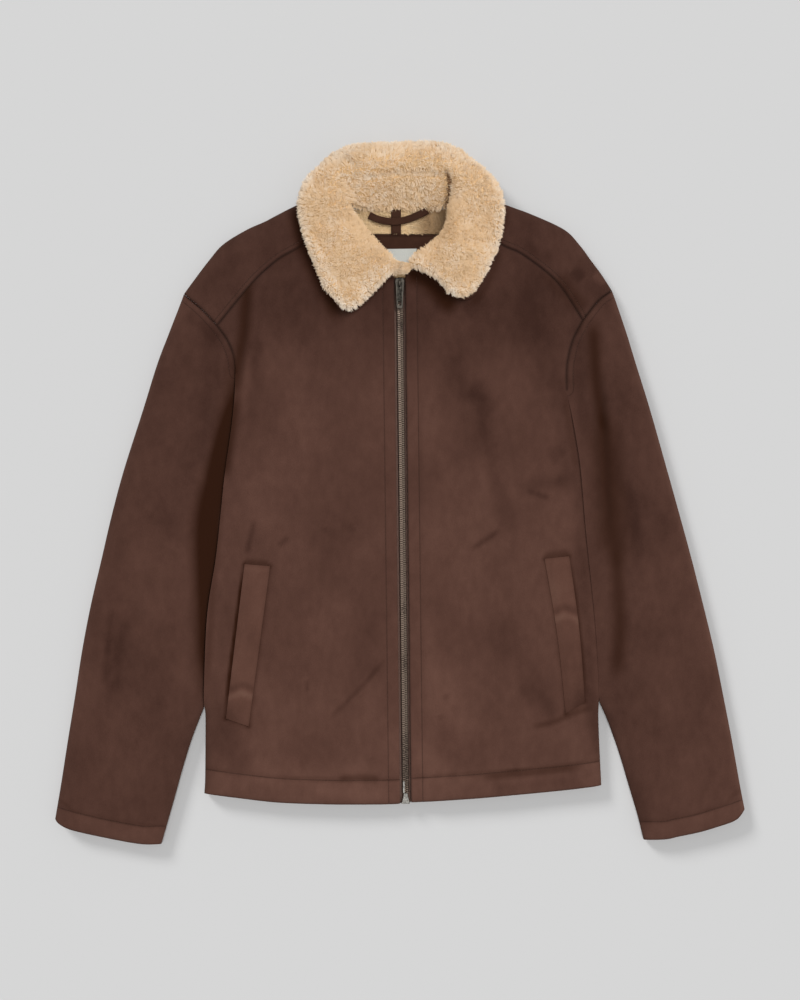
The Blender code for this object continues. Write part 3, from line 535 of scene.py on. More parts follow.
def patch(south, east, north, west, step):
    """Plan grid over four rails, with points about a step apart and closer near the edges."""
    lengths = [length(rail) for rail in (south, east, north, west)]
    across = max(15, round(max(lengths[0], lengths[2]) / step) + 8)
    along = max(15, round(max(lengths[1], lengths[3]) / step) + 8)
    places = [stations(total, n) for total, n in zip(lengths, (across, along, across, along))]
    rails = [walk(rail, place) for rail, place in zip((south, east, north, west), places)]
    u = ((places[0] / lengths[0] + places[2] / lengths[2]) / 2)[None, :, None]
    v = ((places[1] / lengths[1] + places[3] / lengths[3]) / 2)[:, None, None]
    return facing_up(coons(rails, (south[0], south[-1], north[0], north[-1]), u, v))


def lift(plan, height):
    """A plan grid with a height rule's z added."""
    flat = plan.reshape(-1, 2)
    return np.dstack([plan, height(flat).reshape(plan.shape[:2])])


def grid_faces(rows, columns, first=0, wrap=False):
    """Quads between neighbouring rows and columns of a grid; wrap joins the last column to the first."""
    r, c = np.meshgrid(np.arange(rows - 1), np.arange(columns if wrap else columns - 1), indexing="ij")
    row, above, nxt = first + r * columns, first + (r + 1) * columns, (c + 1) % columns
    return np.stack([row + c, row + nxt, above + nxt, above + c], axis=-1).reshape(-1, 4)


def shell(top, bottom):
    """A closed wall between two grids that share their plan: both faces, the lower turned over, and a rim."""
    rows, columns = top.shape[:2]
    at = np.arange(rows * columns).reshape(rows, columns)
    rim = np.concatenate([at[0, :-1], at[:-1, -1], at[-1, :0:-1], at[:0:-1, 0]])
    nxt, low = np.roll(rim, -1), rows * columns
    upper = grid_faces(rows, columns)
    lower = upper[:, ::-1] + low
    side = np.column_stack([rim, rim + low, nxt + low, nxt])
    kind = np.repeat([0, 1, 2], [len(upper), len(lower), len(side)])
    return np.vstack([top.reshape(-1, 3), bottom.reshape(-1, 3)]), np.vstack([upper, lower, side]), kind


def tube(path, across, up, profile):
    """A closed profile carried along a path: each ring is the path's point plus the profile's two offsets
    along the across and up directions, with a flat cap at both ends."""
    count, sides = len(path), profile.shape[-2]
    profile = np.broadcast_to(profile, (count, sides, 2))
    rings = path[:, None] + profile[..., :1] * across[:, None] + profile[..., 1:] * up[:, None]
    quads = grid_faces(count, sides, wrap=True)
    caps = np.array([np.arange(sides)[::-1], np.arange(sides) + (count - 1) * sides])
    return rings.reshape(-1, 3), quads, caps


def copied(face_sets, copies, step):
    """The faces of one small mesh once for each copy, counted on by its number of points."""
    shift = (np.arange(copies) * step)[:, None, None]
    return [(faces + shift).reshape(-1, faces.shape[1]) for faces in face_sets]


def repeated(points, face_sets, places):
    """Copies of one small mesh, its points added to every place."""
    return (points + places[:, None]).reshape(-1, 3), copied(face_sets, len(places), len(points))


def make_mesh(name, points, face_sets):
    """A mesh in metres from points in the tables' millimetres and arrays of faces."""
    mesh = bpy.data.meshes.new(name)
    corners = np.concatenate([faces.ravel() for faces in face_sets]).astype(np.int32)
    sizes = np.concatenate([np.full(len(faces), faces.shape[1]) for faces in face_sets])
    mesh.vertices.add(len(points))
    mesh.vertices.foreach_set("co", ((points - PLAN_MIDDLE) * MM).astype(np.float32).ravel())
    mesh.loops.add(len(corners))
    mesh.loops.foreach_set("vertex_index", corners)
    mesh.polygons.add(len(sizes))
    mesh.polygons.foreach_set("loop_start", np.concatenate([[0], np.cumsum(sizes)[:-1]]).astype(np.int32))
    mesh.update(calc_edges=True)
    if mesh.validate():
        raise RuntimeError(f"{name}: the mesh had faults")
    return mesh


def add_piece(name, points, face_sets, materials, nodes, slot, body="jacket", kinds=None, floats=None,
              sharp_from=None, normals=None):
    """A finished piece: mesh, materials, ride and what it replaces; slot is not used. floats are named values,
    one for each point, and normals are shading normals, one for each point."""
    face_sets = face_sets if isinstance(face_sets, list) else [face_sets]
    mesh = make_mesh(name, points, face_sets)
    for finish in materials:
        mesh.materials.append(finish)
    if kinds is not None:
        mesh.polygons.foreach_set("material_index", np.asarray(kinds, np.int32))
    for key, values in (floats or {}).items():
        mesh.attributes.new(key, "FLOAT", "POINT").data.foreach_set("value", np.asarray(values, np.float32))
    mesh.shade_smooth()
    if sharp_from:
        mesh.set_sharp_from_angle(angle=math.radians(sharp_from))
    if normals is not None:
        mesh.normals_split_custom_set_from_vertices(normals.tolist())
    made = bpy.data.objects.new(name, mesh)
    bpy.context.scene.collection.objects.link(made)
    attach(made, body)
    if nodes:
        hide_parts(*([nodes] if isinstance(nodes, str) else nodes))
    return made


# ------------------------------------------------------------------ height rules

def touching(points):
    """1 where a sleeve lies against the body, below the armhole, easing to 0 where the two part."""
    return eased((points[:, 1] + 262) / 36) * eased((200 - points[:, 1]) / 30)


def body_top(side):
    """Upper face of fronts and yokes: a quarter-circle rise from the side seam and the shoulder ridge, a rolled
    hem, a pressed front edge, less the folds, with seam hollows and soft relief."""
    rise_lines = [seam(side, "side"), seam(side, "ridge")]
    hem, yoke = seam(side, "hem"), seam(side, "yoke")
    sewn = [yoke, seam(side, "armhole_low", "armhole_high")]
    seed = 11 if side == "right" else 12

    def height(points):
        reach = gap(points, *rise_lines)
        sunk = (FRONT_CROWN - EDGE_HIGH) * (1 - rounded(reach / BODY_ROUND))
        z = FRONT_CROWN - sunk * (1 - EDGE_LIFT * touching(points))
        from_hem = gap(points, hem)
        z -= HEM_DROP * (1 - rounded(from_hem / HEM_ROUND)) * eased(reach / BODY_ROUND)
        from_zip = np.abs(points[:, 0] - zip_x(points[:, 1])) - ZIP_HALF_GAP
        z -= FRONT_EDGE_DROP * (1 - eased(from_zip / FRONT_EDGE_RUN))
        z -= 1.5 * (1 - rounded(from_zip / 3.0))
        z -= strokes(points, relief_rows(side, "body"))
        free = eased(reach / 30) * eased(from_zip / 40)
        z += free * (0.9 * ripple(points, (46, 90), seed) + 0.4 * ripple(points, (17, 30), seed + 20))
        z -= 1.5 * bell(gap(points, *sewn) / 4.5) * eased(reach / 12)
        above = foot(points, yoke)
        z -= 0.7 * bell((above[0] - YOKE_STITCH) / 2.5) * (above[2] == yoke_side(side)) * eased(reach / 14)
        z -= 1.3 * bell((from_hem - HEM_STITCH) / 5) * eased(reach / 10)
        pucker = ripple(points * (1, 0), (11, 9), seed + 40) * bell((from_hem - HEM_STITCH - 4) / 18)
        z += 0.9 * pucker * eased(reach / 14)
        z -= 0.7 * bell((from_zip - ZIP_STITCH) / 3.5)
        return z
    return height


def yoke_side(side):
    """The side of the yoke seam that the yoke lies on, as foot gives it."""
    return 1.0 if side == "right" else -1.0


def body_under(side):
    """Lower face of fronts and yokes: on the back at the sides, with a little room further in."""
    line, ridge = seam(side, "side", "armhole_low", "armhole_high"), seam(side, "ridge")

    def height(points):
        return MATE + HOLLOW * eased(gap(points, line, ridge) / HOLLOW_RUN)
    return height


def sleeve_top(side):
    """Upper face of a top sleeve: a soft tube between its two long edges, lower towards the cuff, level with
    the yoke at the armhole, less the folds, with seam hollows, cuff puckers and soft relief."""
    outer, inner, cuff = (seam(side, name) for name in ("sleeve_outer", "sleeve_inner", "cuff"))
    armhole = seam(side, "armhole_low", "armhole_high")
    seed = 13 if side == "right" else 14

    def height(points):
        from_outer, from_inner = gap(points, outer), gap(points, inner)
        reach = np.minimum(from_outer, from_inner)
        from_armhole, from_cuff = gap(points, armhole), gap(points, cuff)
        from_turn = gap(points, cuff_line(side))
        along = eased((points[:, 1] + 400) / 560)
        crown = CUFF_CROWN + (SLEEVE_CROWN - CUFF_CROWN) * along
        crown = FRONT_CROWN + (crown - FRONT_CROWN) * eased(from_armhole / 50)
        full = touching(points) * (from_inner < from_outer) * (EDGE_LIFT if side == "left" else 0.4)
        z = crown - (crown - EDGE_HIGH) * (1 - rounded(reach / SLEEVE_ROUND)) * (1 - full)
        z -= HEM_DROP * (1 - rounded(from_cuff / HEM_ROUND)) * eased(reach / SLEEVE_ROUND)
        z -= strokes(points, relief_rows(side, "sleeve"))
        free = eased(reach / 30)
        z += free * (0.9 * ripple(points, (40, 70), seed) + 0.45 * ripple(points, (16, 24), seed + 20))
        z -= 1.6 * bell(from_armhole / 4.5) * eased(reach / 8)
        z -= 0.8 * bell((from_armhole - ARMHOLE_STITCH) / 2.5) * eased(reach / 12)
        z -= 1.2 * bell((from_turn - CUFF_STITCH) / 5) * eased(reach / 10)
        pucker = ripple(points, (9, 60), seed + 40) * bell((from_turn - CUFF_STITCH - 3) / 14)
        z += 0.8 * pucker * eased(reach / 14)
        return z
    return height


def sleeve_hollow(side):
    """Lower face of a top sleeve, with room over the under sleeve."""
    outer, inner = seam(side, "sleeve_outer"), seam(side, "sleeve_inner")
    return lambda points: MATE + HOLLOW * eased(gap(points, outer, inner) / HOLLOW_RUN)


def underside(*lines):
    """Face that rests on the surface, rounded up along the given edges."""
    return lambda points: EDGE_LOW * (1 - rounded(gap(points, *lines) / UNDER_ROUND))


def flat(z):
    """Height rule of a level face."""
    return lambda points: np.full(len(points), float(z))


def from_zip_signed(points, side):
    """Distance from the front's edge beside the zip, over 0 on the cloth."""
    sign = -1 if side == "right" else 1
    return sign * (points[:, 0] - zip_x(points[:, 1])) - ZIP_HALF_GAP


# ------------------------------------------------------------------ materials

def linear(code):
    """A six-figure sRGB hex colour as linear red, green and blue. A user's own colour is linear already."""
    if not isinstance(code, str):
        return tuple(code)
    s = np.array([int(code[i:i + 2], 16) for i in (1, 3, 5)]) / 255
    return tuple(float(x) for x in np.where(s <= 0.04045, s / 12.92, ((s + 0.055) / 1.055) ** 2.4))


def add(tree, kind, inputs=None, **settings):
    """One node with its settings and its inputs, each a plain value or another node's output."""
    made = tree.nodes.new(kind)
    for key, value in settings.items():
        setattr(made, key, value)
    for key, value in (inputs or {}).items():
        if isinstance(value, bpy.types.NodeSocket):
            tree.links.new(value, made.inputs[key])
        else:
            made.inputs[key].default_value = value
    return made


def mixed(tree, terms, start):
    """Sum of a start value and each output times its weight, as a chain of multiply-add nodes."""
    total = start
    for output, weight in terms:
        inputs = {0: output, 1: weight, 2: total}
        total = add(tree, "ShaderNodeMath", inputs, operation="MULTIPLY_ADD").outputs[0]
    return total


def ramp(tree, factor, stops):
    """A colour ramp through (place, linear colour) stops."""
    made = add(tree, "ShaderNodeValToRGB", {"Fac": factor})
    while len(made.color_ramp.elements) < len(stops):
        made.color_ramp.elements.new(0.5)
    for element, (place, colour) in zip(made.color_ramp.elements, stops):
        element.position, element.color = place, (*colour, 1)
    return made.outputs["Color"]


def begin(name, **values):
    """A new material with the shader's own sockets set."""
    made = bpy.data.materials.new(name)
    made.use_nodes = True
    tree = made.node_tree
    shader = tree.nodes["Principled BSDF"]
    for key, value in values.items():
        shader.inputs[key.replace("_", " ").title().replace("Ior", "IOR")].default_value = value
    return made, tree, shader


def noise(tree, coords, size_mm, detail=2.0, stretch=None):
    """Noise whose blotches are about size_mm wide; stretch scales the coordinates first."""
    if stretch:
        coords = add(tree, "ShaderNodeMapping", {"Vector": coords, "Scale": stretch}).outputs[0]
    inputs = {"Vector": coords, "Scale": 1000 / size_mm, "Detail": detail}
    return add(tree, "ShaderNodeTexNoise", inputs).outputs[0]


def profile(tree, attribute, half_mm):
    """1 where the attribute's distance is 0, falling smoothly to 0 at half_mm."""
    value = add(tree, "ShaderNodeAttribute", attribute_name=attribute).outputs["Fac"]
    plain = add(tree, "ShaderNodeMath", {0: value}, operation="ABSOLUTE").outputs[0]
    return add(tree, "ShaderNodeMapRange", {"Value": plain, "From Min": 0.0, "From Max": half_mm, "To Min": 1.0,
                                            "To Max": 0.0}, interpolation_type="SMOOTHSTEP").outputs[0]


def shaded(tree, colour, amount, shade):
    """The colour, drawn towards a warm dark shade by the amount."""
    made = add(tree, "ShaderNodeMix", {"Factor": amount}, data_type="RGBA", clamp_factor=True)
    tree.links.new(colour, made.inputs[6])
    made.inputs[7].default_value = (*linear(shade), 1)
    return made.outputs[2]


def faux_suede(name, dark, mid, light, sheen=0.12):
    """Faux suede: a brushed polyester microfibre. Its nap lies one way or the other, so it shows soft lighter
    and darker clouds, a fine grain of fibres (0.5 mm, drawn at 1.1 mm so that it shows) and no gloss. Its
    colour
    also holds painted light: the nap attribute adds listed strokes of painted shade and painted highlight, the
    seams and rows of stitching are darkened as painted shade in their grooves, and the deep attribute draws it
    towards a painted deep shade."""
    made, tree, shader = begin(name, roughness=0.96, specular_ior_level=0.12, sheen_weight=sheen,
                               sheen_roughness=0.55, sheen_tint=(*linear("#c9a28c"), 1))
    coords = add(tree, "ShaderNodeTexCoord").outputs["Object"]
    nap = add(tree, "ShaderNodeAttribute", attribute_name="nap").outputs["Fac"]
    deep = add(tree, "ShaderNodeAttribute", attribute_name="deep").outputs["Fac"]
    grain = noise(tree, coords, 1.1, 3.0, (1.3, 0.7, 1.0))
    cloud = noise(tree, coords, 9.0, 3.0, (1.0, 0.6, 1.0))
    mottle = noise(tree, coords, 60.0, 3.0, (1.0, 0.7, 1.0))
    # The nap attribute holds the nap's own tone and, in listed strokes, painted shade and painted highlight.
    place = mixed(tree, [(mottle, 0.62), (cloud, 0.30), (grain, 0.28), (nap, -0.62)], -0.10)
    shade = ramp(tree, place, [(0.0, linear(dark)), (0.5, linear(mid)), (1.0, linear(light))])
    lines = [profile(tree, "seam_mm", 2.7), profile(tree, "stitch_a", 1.0), profile(tree, "stitch_b", 1.0)]
    # Painted shade in the grooves: darker along the sewn seams and both rows of stitching.
    keep = mixed(tree, [(lines[0], -0.50), (lines[1], -0.26), (lines[2], -0.30)], 1.0)
    toned = add(tree, "ShaderNodeVectorMath", {0: shade, "Scale": keep}, operation="SCALE").outputs[0]
    # Painted deep shade: the deep attribute draws the colour towards a warm dark brown.
    tree.links.new(shaded(tree, toned, deep, "#291104"), shader.inputs["Base Color"])
    relief = mixed(tree, [(grain, 0.16), (cloud, 0.20), (lines[0], -0.5), (lines[1], -0.35), (lines[2], -0.40)],
                   0.0)
    bump = add(tree, "ShaderNodeBump", {"Height": relief, "Distance": MM, "Strength": 0.9})
    tree.links.new(bump.outputs[0], shader.inputs["Normal"])
    return made


def teddy_pile(name, deep, mid, tip, tint_share=0.11, length_share=0.20):
    """Teddy fleece: crimped polyester pile on a knitted ground. Roots are in shade and browner, tips are pale,
    and each lock has its own tone; no gloss, and a soft sheen at the edge."""
    made, tree, shader = begin(name, roughness=0.92, specular_ior_level=0.15, sheen_weight=0.25,
                               sheen_roughness=0.6, sheen_tint=(*linear("#f2dfc6"), 1))
    along = add(tree, "ShaderNodeAttribute", attribute_name="tip").outputs["Fac"]
    tint = add(tree, "ShaderNodeAttribute", attribute_name="tint").outputs["Fac"]
    coords = add(tree, "ShaderNodeTexCoord").outputs["Object"]
    cloud = noise(tree, coords, 22.0, 2.0)
    # This attribute gives paler pile at the outer rim, and painted light on the stand and the wings' front
    # ends.
    rim = add(tree, "ShaderNodeAttribute", attribute_name="rim").outputs["Fac"]
    start = 0.35 - 0.7 * length_share
    place = mixed(tree, [(along, length_share), (tint, tint_share), (cloud, 0.30), (rim, 0.20)], start)
    shade = ramp(tree, place, [(0.0, linear(deep)), (0.5, linear(mid)), (1.0, linear(tip))])
    hidden = add(tree, "ShaderNodeAttribute", attribute_name="deep").outputs["Fac"]
    tree.links.new(shaded(tree, shade, hidden, "#6b4a2c"), shader.inputs["Base Color"])
    return made


def pile_ground(name, dark, light):
    """Knitted ground and sheared pile: curls about 2.5 mm across, seen only between the locks and inside."""
    made, tree, shader = begin(name, roughness=0.95, specular_ior_level=0.1)
    coords = add(tree, "ShaderNodeTexCoord").outputs["Object"]
    curls = noise(tree, coords, 2.5, 3.0)
    tree.links.new(ramp(tree, curls, [(0.3, linear(dark)), (0.7, linear(light))]), shader.inputs["Base Color"])
    bump = add(tree, "ShaderNodeBump", {"Height": curls, "Distance": 1.6 * MM})
    tree.links.new(bump.outputs[0], shader.inputs["Normal"])
    return made


def gunmetal(name, dark, light, roughness):
    """Zinc alloy, die cast, plated in dark gunmetal and tumbled: soft scratches, and lighter edges and tops
    where a point attribute says so, partly rubbed plating and partly painted glints of light."""
    made, tree, shader = begin(name, metallic=1.0, roughness=roughness)
    coords = add(tree, "ShaderNodeTexCoord").outputs["Object"]
    edge = add(tree, "ShaderNodeAttribute", attribute_name="rub_and_glint").outputs["Fac"]
    rubbed = mixed(tree, [(noise(tree, coords, 2.2, 3.0), 0.8), (edge, 0.6)], 0.0)
    tree.links.new(ramp(tree, rubbed, [(0.3, linear(dark)), (0.7, linear(light))]), shader.inputs["Base Color"])
    rough = add(tree, "ShaderNodeMapRange",
                {"Value": rubbed, "To Min": roughness - 0.1, "To Max": roughness + 0.15})
    tree.links.new(rough.outputs[0], shader.inputs["Roughness"])
    bump = add(tree, "ShaderNodeBump", {"Height": noise(tree, coords, 0.6, 2.0), "Distance": 0.05 * MM})
    tree.links.new(bump.outputs[0], shader.inputs["Normal"])
    return made


def woven(name, dark, light, pitch_mm, relief_mm, turn=0.0, roughness=0.85):
    """Woven polyester: warp and weft threads cross at pitch_mm, each a rounded rib in the relief."""
    made, tree, shader = begin(name, roughness=roughness, specular_ior_level=0.25)
    coords = add(tree, "ShaderNodeTexCoord").outputs["Object"]
    turned = add(tree, "ShaderNodeMapping", {"Vector": coords, "Rotation": (0, 0, turn)}).outputs[0]
    ribs = [add(tree, "ShaderNodeTexWave", {"Vector": turned, "Scale": 100 * math.pi / pitch_mm,
                                            "Distortion": 0.4, "Detail": 1.0},
                bands_direction=way).outputs["Fac"] for way in ("X", "Y")]
    cloth = add(tree, "ShaderNodeMath", {0: ribs[0], 1: ribs[1]}, operation="MULTIPLY").outputs[0]
    tree.links.new(ramp(tree, cloth, [(0.0, linear(dark)), (0.6, linear(light))]), shader.inputs["Base Color"])
    bump = add(tree, "ShaderNodeBump", {"Height": cloth, "Distance": relief_mm * MM})
    tree.links.new(bump.outputs[0], shader.inputs["Normal"])
    return made


def seamless_paper(name, code):
    """Matt background paper, evenly coloured, with a faint tooth of about 2 mm."""
    made, tree, shader = begin(name, roughness=1.0, specular_ior_level=0.0, base_color=(*linear(code), 1))
    coords = add(tree, "ShaderNodeTexCoord").outputs["Object"]
    bump = add(tree, "ShaderNodeBump",
               {"Height": noise(tree, coords, 2.0), "Distance": 0.02 * MM, "Strength": 0.2})
    tree.links.new(bump.outputs[0], shader.inputs["Normal"])
    return made


CLOTHS = {}


def material(key):
    """The object's materials, each made once, when first asked for."""
    look = bpy.context.scene.jacket_colours
    if key not in CLOTHS:
        CLOTHS[key] = {
            "suede": lambda: faux_suede("Faux suede, brushed microfibre", look.suede_dark, look.suede,
                                        look.suede_light),
            "suede_welt": lambda: faux_suede("Faux suede, nap brushed up", "#412921", "#593c32", "#6c4f43",
                                             0.22),
            "suede_trim": lambda: faux_suede("Faux suede, cut strips", "#29170f", "#3b251b", "#503427", 0.1),
            "teddy": lambda: teddy_pile("Teddy fleece, crimped pile", look.pile_root, look.pile, look.pile_tip),
            "teddy_lining": lambda: teddy_pile("Teddy fleece, lining", "#c39e70", "#e6c79b", "#f6e0bb"),
            "pile_ground": lambda: pile_ground("Teddy fleece, knitted ground", "#d0a97c", "#e8c89b"),
            "thread": lambda: woven("Polyester thread, twisted", "#362119", "#644639", 0.5, 0.05, 0.8),
            "tape": lambda: woven("Polyester zip tape, woven", "#46332c", "#86685c", 0.9, 0.12, 0.4),
            "label": lambda: woven("Woven satin label", "#b2b4ae", "#dadcd6", 0.7, 0.05, 0.0, 0.6),
            "teeth": lambda: gunmetal("Zinc alloy, cast teeth", "#302825", "#877669", 0.34),
            "slider": lambda: gunmetal("Zinc alloy, plated slider", "#1b1b17", "#5c5750", 0.34),
            "box": lambda: gunmetal("Zinc alloy, bright nickel", "#8f8c86", "#e6e1d8", 0.26),
        }[key]()
    return CLOTHS[key]

# ------------------------------------------------------------------ cloth panels

def cloth_panel(name, node, plan, top_rule, under_rule, values, cloths, slot, turned=None, shown="top"):
    """A closed wall of cloth over a plan grid, between two height rules. The shown face is suede, the other is
    lining, except where turned, the distance from a hem, is under the hem's depth. values are the points'
    floats."""
    points, faces, kind = shell(lift(plan, top_rule), lift(plan, under_rule))
    hidden = kind == (1 if shown == "top" else 0)
    if turned is not None:
        hidden &= np.tile(turned, 2)[faces].mean(axis=1) > HEM_STITCH
    floats = {key: np.tile(value, 2) for key, value in values.items()}
    return add_piece(name, points, faces, [material(key) for key in cloths], node, slot,
                     kinds=hidden.astype(int), floats=floats, sharp_from=50)


def no_lines(count):
    """Distances for cloth with no sewn seam and no stitching near."""
    return {key: np.full(count, FAR) for key in ("seam_mm", "stitch_a", "stitch_b")}


def pressed(plan, edge, push):
    """A plan whose edge is pushed sideways where sleeve and body press together, so that no gap shows."""
    points = plan.reshape(-1, 2)
    return plan + (push * touching(points) * bell(gap(points, edge) / 6)).reshape(*plan.shape[:2], 1) * (1, 0)


def front_plan(side, step):
    """A front: its straight edge follows the zip, a little clear of the teeth."""
    hem, neck = seam(side, "hem"), seam(side, "neck_low")
    y = np.linspace(SEAMS[side]["hem"][0][1], SEAMS[side]["neck_low"][-1][1], 90)
    edge = np.column_stack([zip_x(y) + (-1 if side == "right" else 1) * ZIP_HALF_GAP, y])
    edge[0], edge[-1] = hem[0], neck[-1]
    top = np.vstack([seam(side, "yoke"), neck[1:]])[::-1]
    plan = patch(hem, seam(side, "side", "armhole_low"), top, edge, step)
    return pressed(plan, seam(side, "side"), -PRESS if side == "right" else PRESS)


def yoke_plan(side, step):
    """A shoulder yoke, from its forward seam up to the shoulder ridge."""
    return patch(seam(side, "yoke"), seam(side, "neck_high")[::-1], seam(side, "ridge"),
                 seam(side, "armhole_high"), step)


def sleeve_plan(side, step):
    """A sleeve, from the cuff to the armhole; top and under sleeve share it."""
    plan = patch(seam(side, "cuff"), seam(side, "sleeve_inner"),
                 seam(side, "armhole_low", "armhole_high")[::-1], seam(side, "sleeve_outer")[::-1], step)
    return pressed(plan, seam(side, "sleeve_inner"), PRESS if side == "right" else -PRESS)


def back_plan(step):
    """The back, in one piece from hem to neck."""
    hem = np.vstack([seam("right", "hem")[::-1], [(6.0, -357.0)], seam("left", "hem")])
    rise = [seam(side, "side", "armhole_low", "armhole_high") for side in ("left", "right")]
    top = np.vstack([seam("right", "ridge", "back_neck")[:-1], seam("left", "ridge", "back_neck")[::-1]])
    return patch(hem, rise[0], top, rise[1], step)


def welt_lines(side):
    """The four edges of a welt: outer and inner, which bow outwards, then the top and the foot."""
    top_out, top_in, foot_in, foot_out = (np.array(p, float) for p in WELTS[side])
    down = np.linspace(0, 1, 40)[:, None]
    bow = (-1 if side == "right" else 1) * WELT_BEND[side] * np.sin(math.pi * down) * (1, 0)
    outer, inner = top_out + (foot_out - top_out) * down + bow, top_in + (foot_in - top_in) * down + bow
    return outer, inner, np.array([top_out, top_in]), np.array([foot_out, foot_in])


def front_face(side):
    """The front's upper face with its pocket: the cloth sinks along the welt's edges, most at the mouth."""
    plain, (outer, inner, top, foot_edge) = body_top(side), welt_lines(side)

    def height(points):
        return (plain(points) - 0.8 * bell(gap(points, outer) / 6) - 0.2 * bell(gap(points, inner) / 7)
                - 0.2 * bell(gap(points, top, foot_edge) / 7))
    return height


def turned_edge(points, from_edge, stitch, seed):
    """Shade of a turned edge: a dark rim, and over the stitching a soft dark line that comes and goes."""
    along = points * (1, 0)
    comes = 0.55 + 0.45 * ripple(along, (24, 9), seed) + 0.25 * ripple(along, (9, 9), seed + 1)
    return 0.45 * bell(from_edge / 2.4) + 0.42 * comes * bell((from_edge - stitch - 1.0) / 3.8)


def front_values(side, points):
    """Floats of a front: distance to its sewn seams, from its two rows of stitching, nap with painted shade and
    highlight, and painted deep shade.
    """
    outer, inner, top, foot_edge = welt_lines(side)
    # Painted deep shade at the pocket: darkest along the welt's outer edge and its mouth, softer along its
    # inner edge, top and foot.
    down = np.clip((WELTS[side][0][1] - points[:, 1]) / 190, 0, 1)
    slit = (0.40 + 0.45 * np.sin(math.pi * down ** 0.8)) * (1.0 if side == "right" else 0.50)
    outward = -1 if side == "right" else 1
    mouth = bell(gap(points, outer + (outward, 0)) / (3.2 + 1.8 * down))
    deep = strokes(points, VALLEYS[side, "body"]) + slit * mouth
    deep += (0.34 if side == "right" else 0.22) * bell(gap(points, inner) / 4.8)
    deep += 0.34 * bell(gap(points, top, foot_edge) / 5.5)
    from_hem = gap(points, seam(side, "hem"))
    deep += turned_edge(points, from_hem, HEM_STITCH, 61)
    return {
        "seam_mm": gap(points, seam(side, "yoke"), seam(side, "armhole_low")),
        "stitch_a": from_zip_signed(points, side) - ZIP_STITCH,
        "stitch_b": from_hem - HEM_STITCH,
        "nap": (strokes(points, NAP_AND_SHADE_STROKES[side, "body"]) + body_drift(points)
                - 0.08 * eased((HEM_STITCH + 1 - from_hem) / 4)),
        "deep": np.clip(deep, 0, 1),
    }


def body_drift(points):
    """Slow change of tone over the body: lighter towards the hem, darker over the chest and shoulders."""
    up = points[:, 1]
    upward = 0.10 * eased((up + 60) / 330) + 0.40 * eased((up - 125) / 95)
    return 0.05 + upward - 0.16 * eased((-190 - up) / 170)


def build_fronts(step):
    """Both fronts and both shoulder yokes."""
    for side in ("right", "left"):
        plan = front_plan(side, step)
        points = plan.reshape(-1, 2)
        values = front_values(side, points)
        made = cloth_panel(f"front_cloth_{side}", f"front_{side}", plan, front_face(side), body_under(side),
                           values, ("suede", "teddy_lining"), "suede", values["stitch_b"] + HEM_STITCH)
        plan = yoke_plan(side, step)
        points = plan.reshape(-1, 2)
        yoke = seam(side, "yoke")
        values = {
            "seam_mm": gap(points, yoke, seam(side, "armhole_high")),
            "stitch_a": gap(points, yoke) - YOKE_STITCH,
            "stitch_b": np.full(len(points), FAR),
            "nap": strokes(points, NAP_AND_SHADE_STROKES[side, "yoke"]) + body_drift(points) - 0.10,
            "deep": strokes(points, VALLEYS[side, "yoke"]),
        }
        made = cloth_panel(f"yoke_cloth_{side}", f"yoke_{side}", plan, body_top(side), body_under(side), values,
                           ("suede", "teddy_lining"), "suede")


def build_back(step):
    """The back: its suede looks down and its pile up, but for the hem's turned edge."""
    plan = back_plan(step)
    points = plan.reshape(-1, 2)
    edges = [seam(side, name) for side in ("right", "left") for name in ("side", "ridge")]
    from_hem = gap(points, seam("right", "hem"), seam("left", "hem"))
    values = {**no_lines(len(points)), "stitch_b": from_hem - HEM_STITCH,
              "nap": 0.15 * ripple(points, (90, 140), 31) + body_drift(points),
              "deep": turned_edge(points, from_hem, HEM_STITCH, 62)}
    armholes = [seam(side, "armhole_low") for side in ("right", "left")]
    allowance = np.minimum(from_hem, gap(points, *edges, *armholes) + HEM_STITCH - SEAM_ALLOWANCE)
    rest = underside(*edges)

    def under(at):
        return rest(at) + 0.5 * bell((gap(at, seam("right", "hem"), seam("left", "hem")) - HEM_STITCH) / 4)
    made = cloth_panel("back_cloth", "back", plan, flat(BACK_WALL), under, values, ("suede", "teddy_lining"),
                       "suede", allowance, shown="bottom")


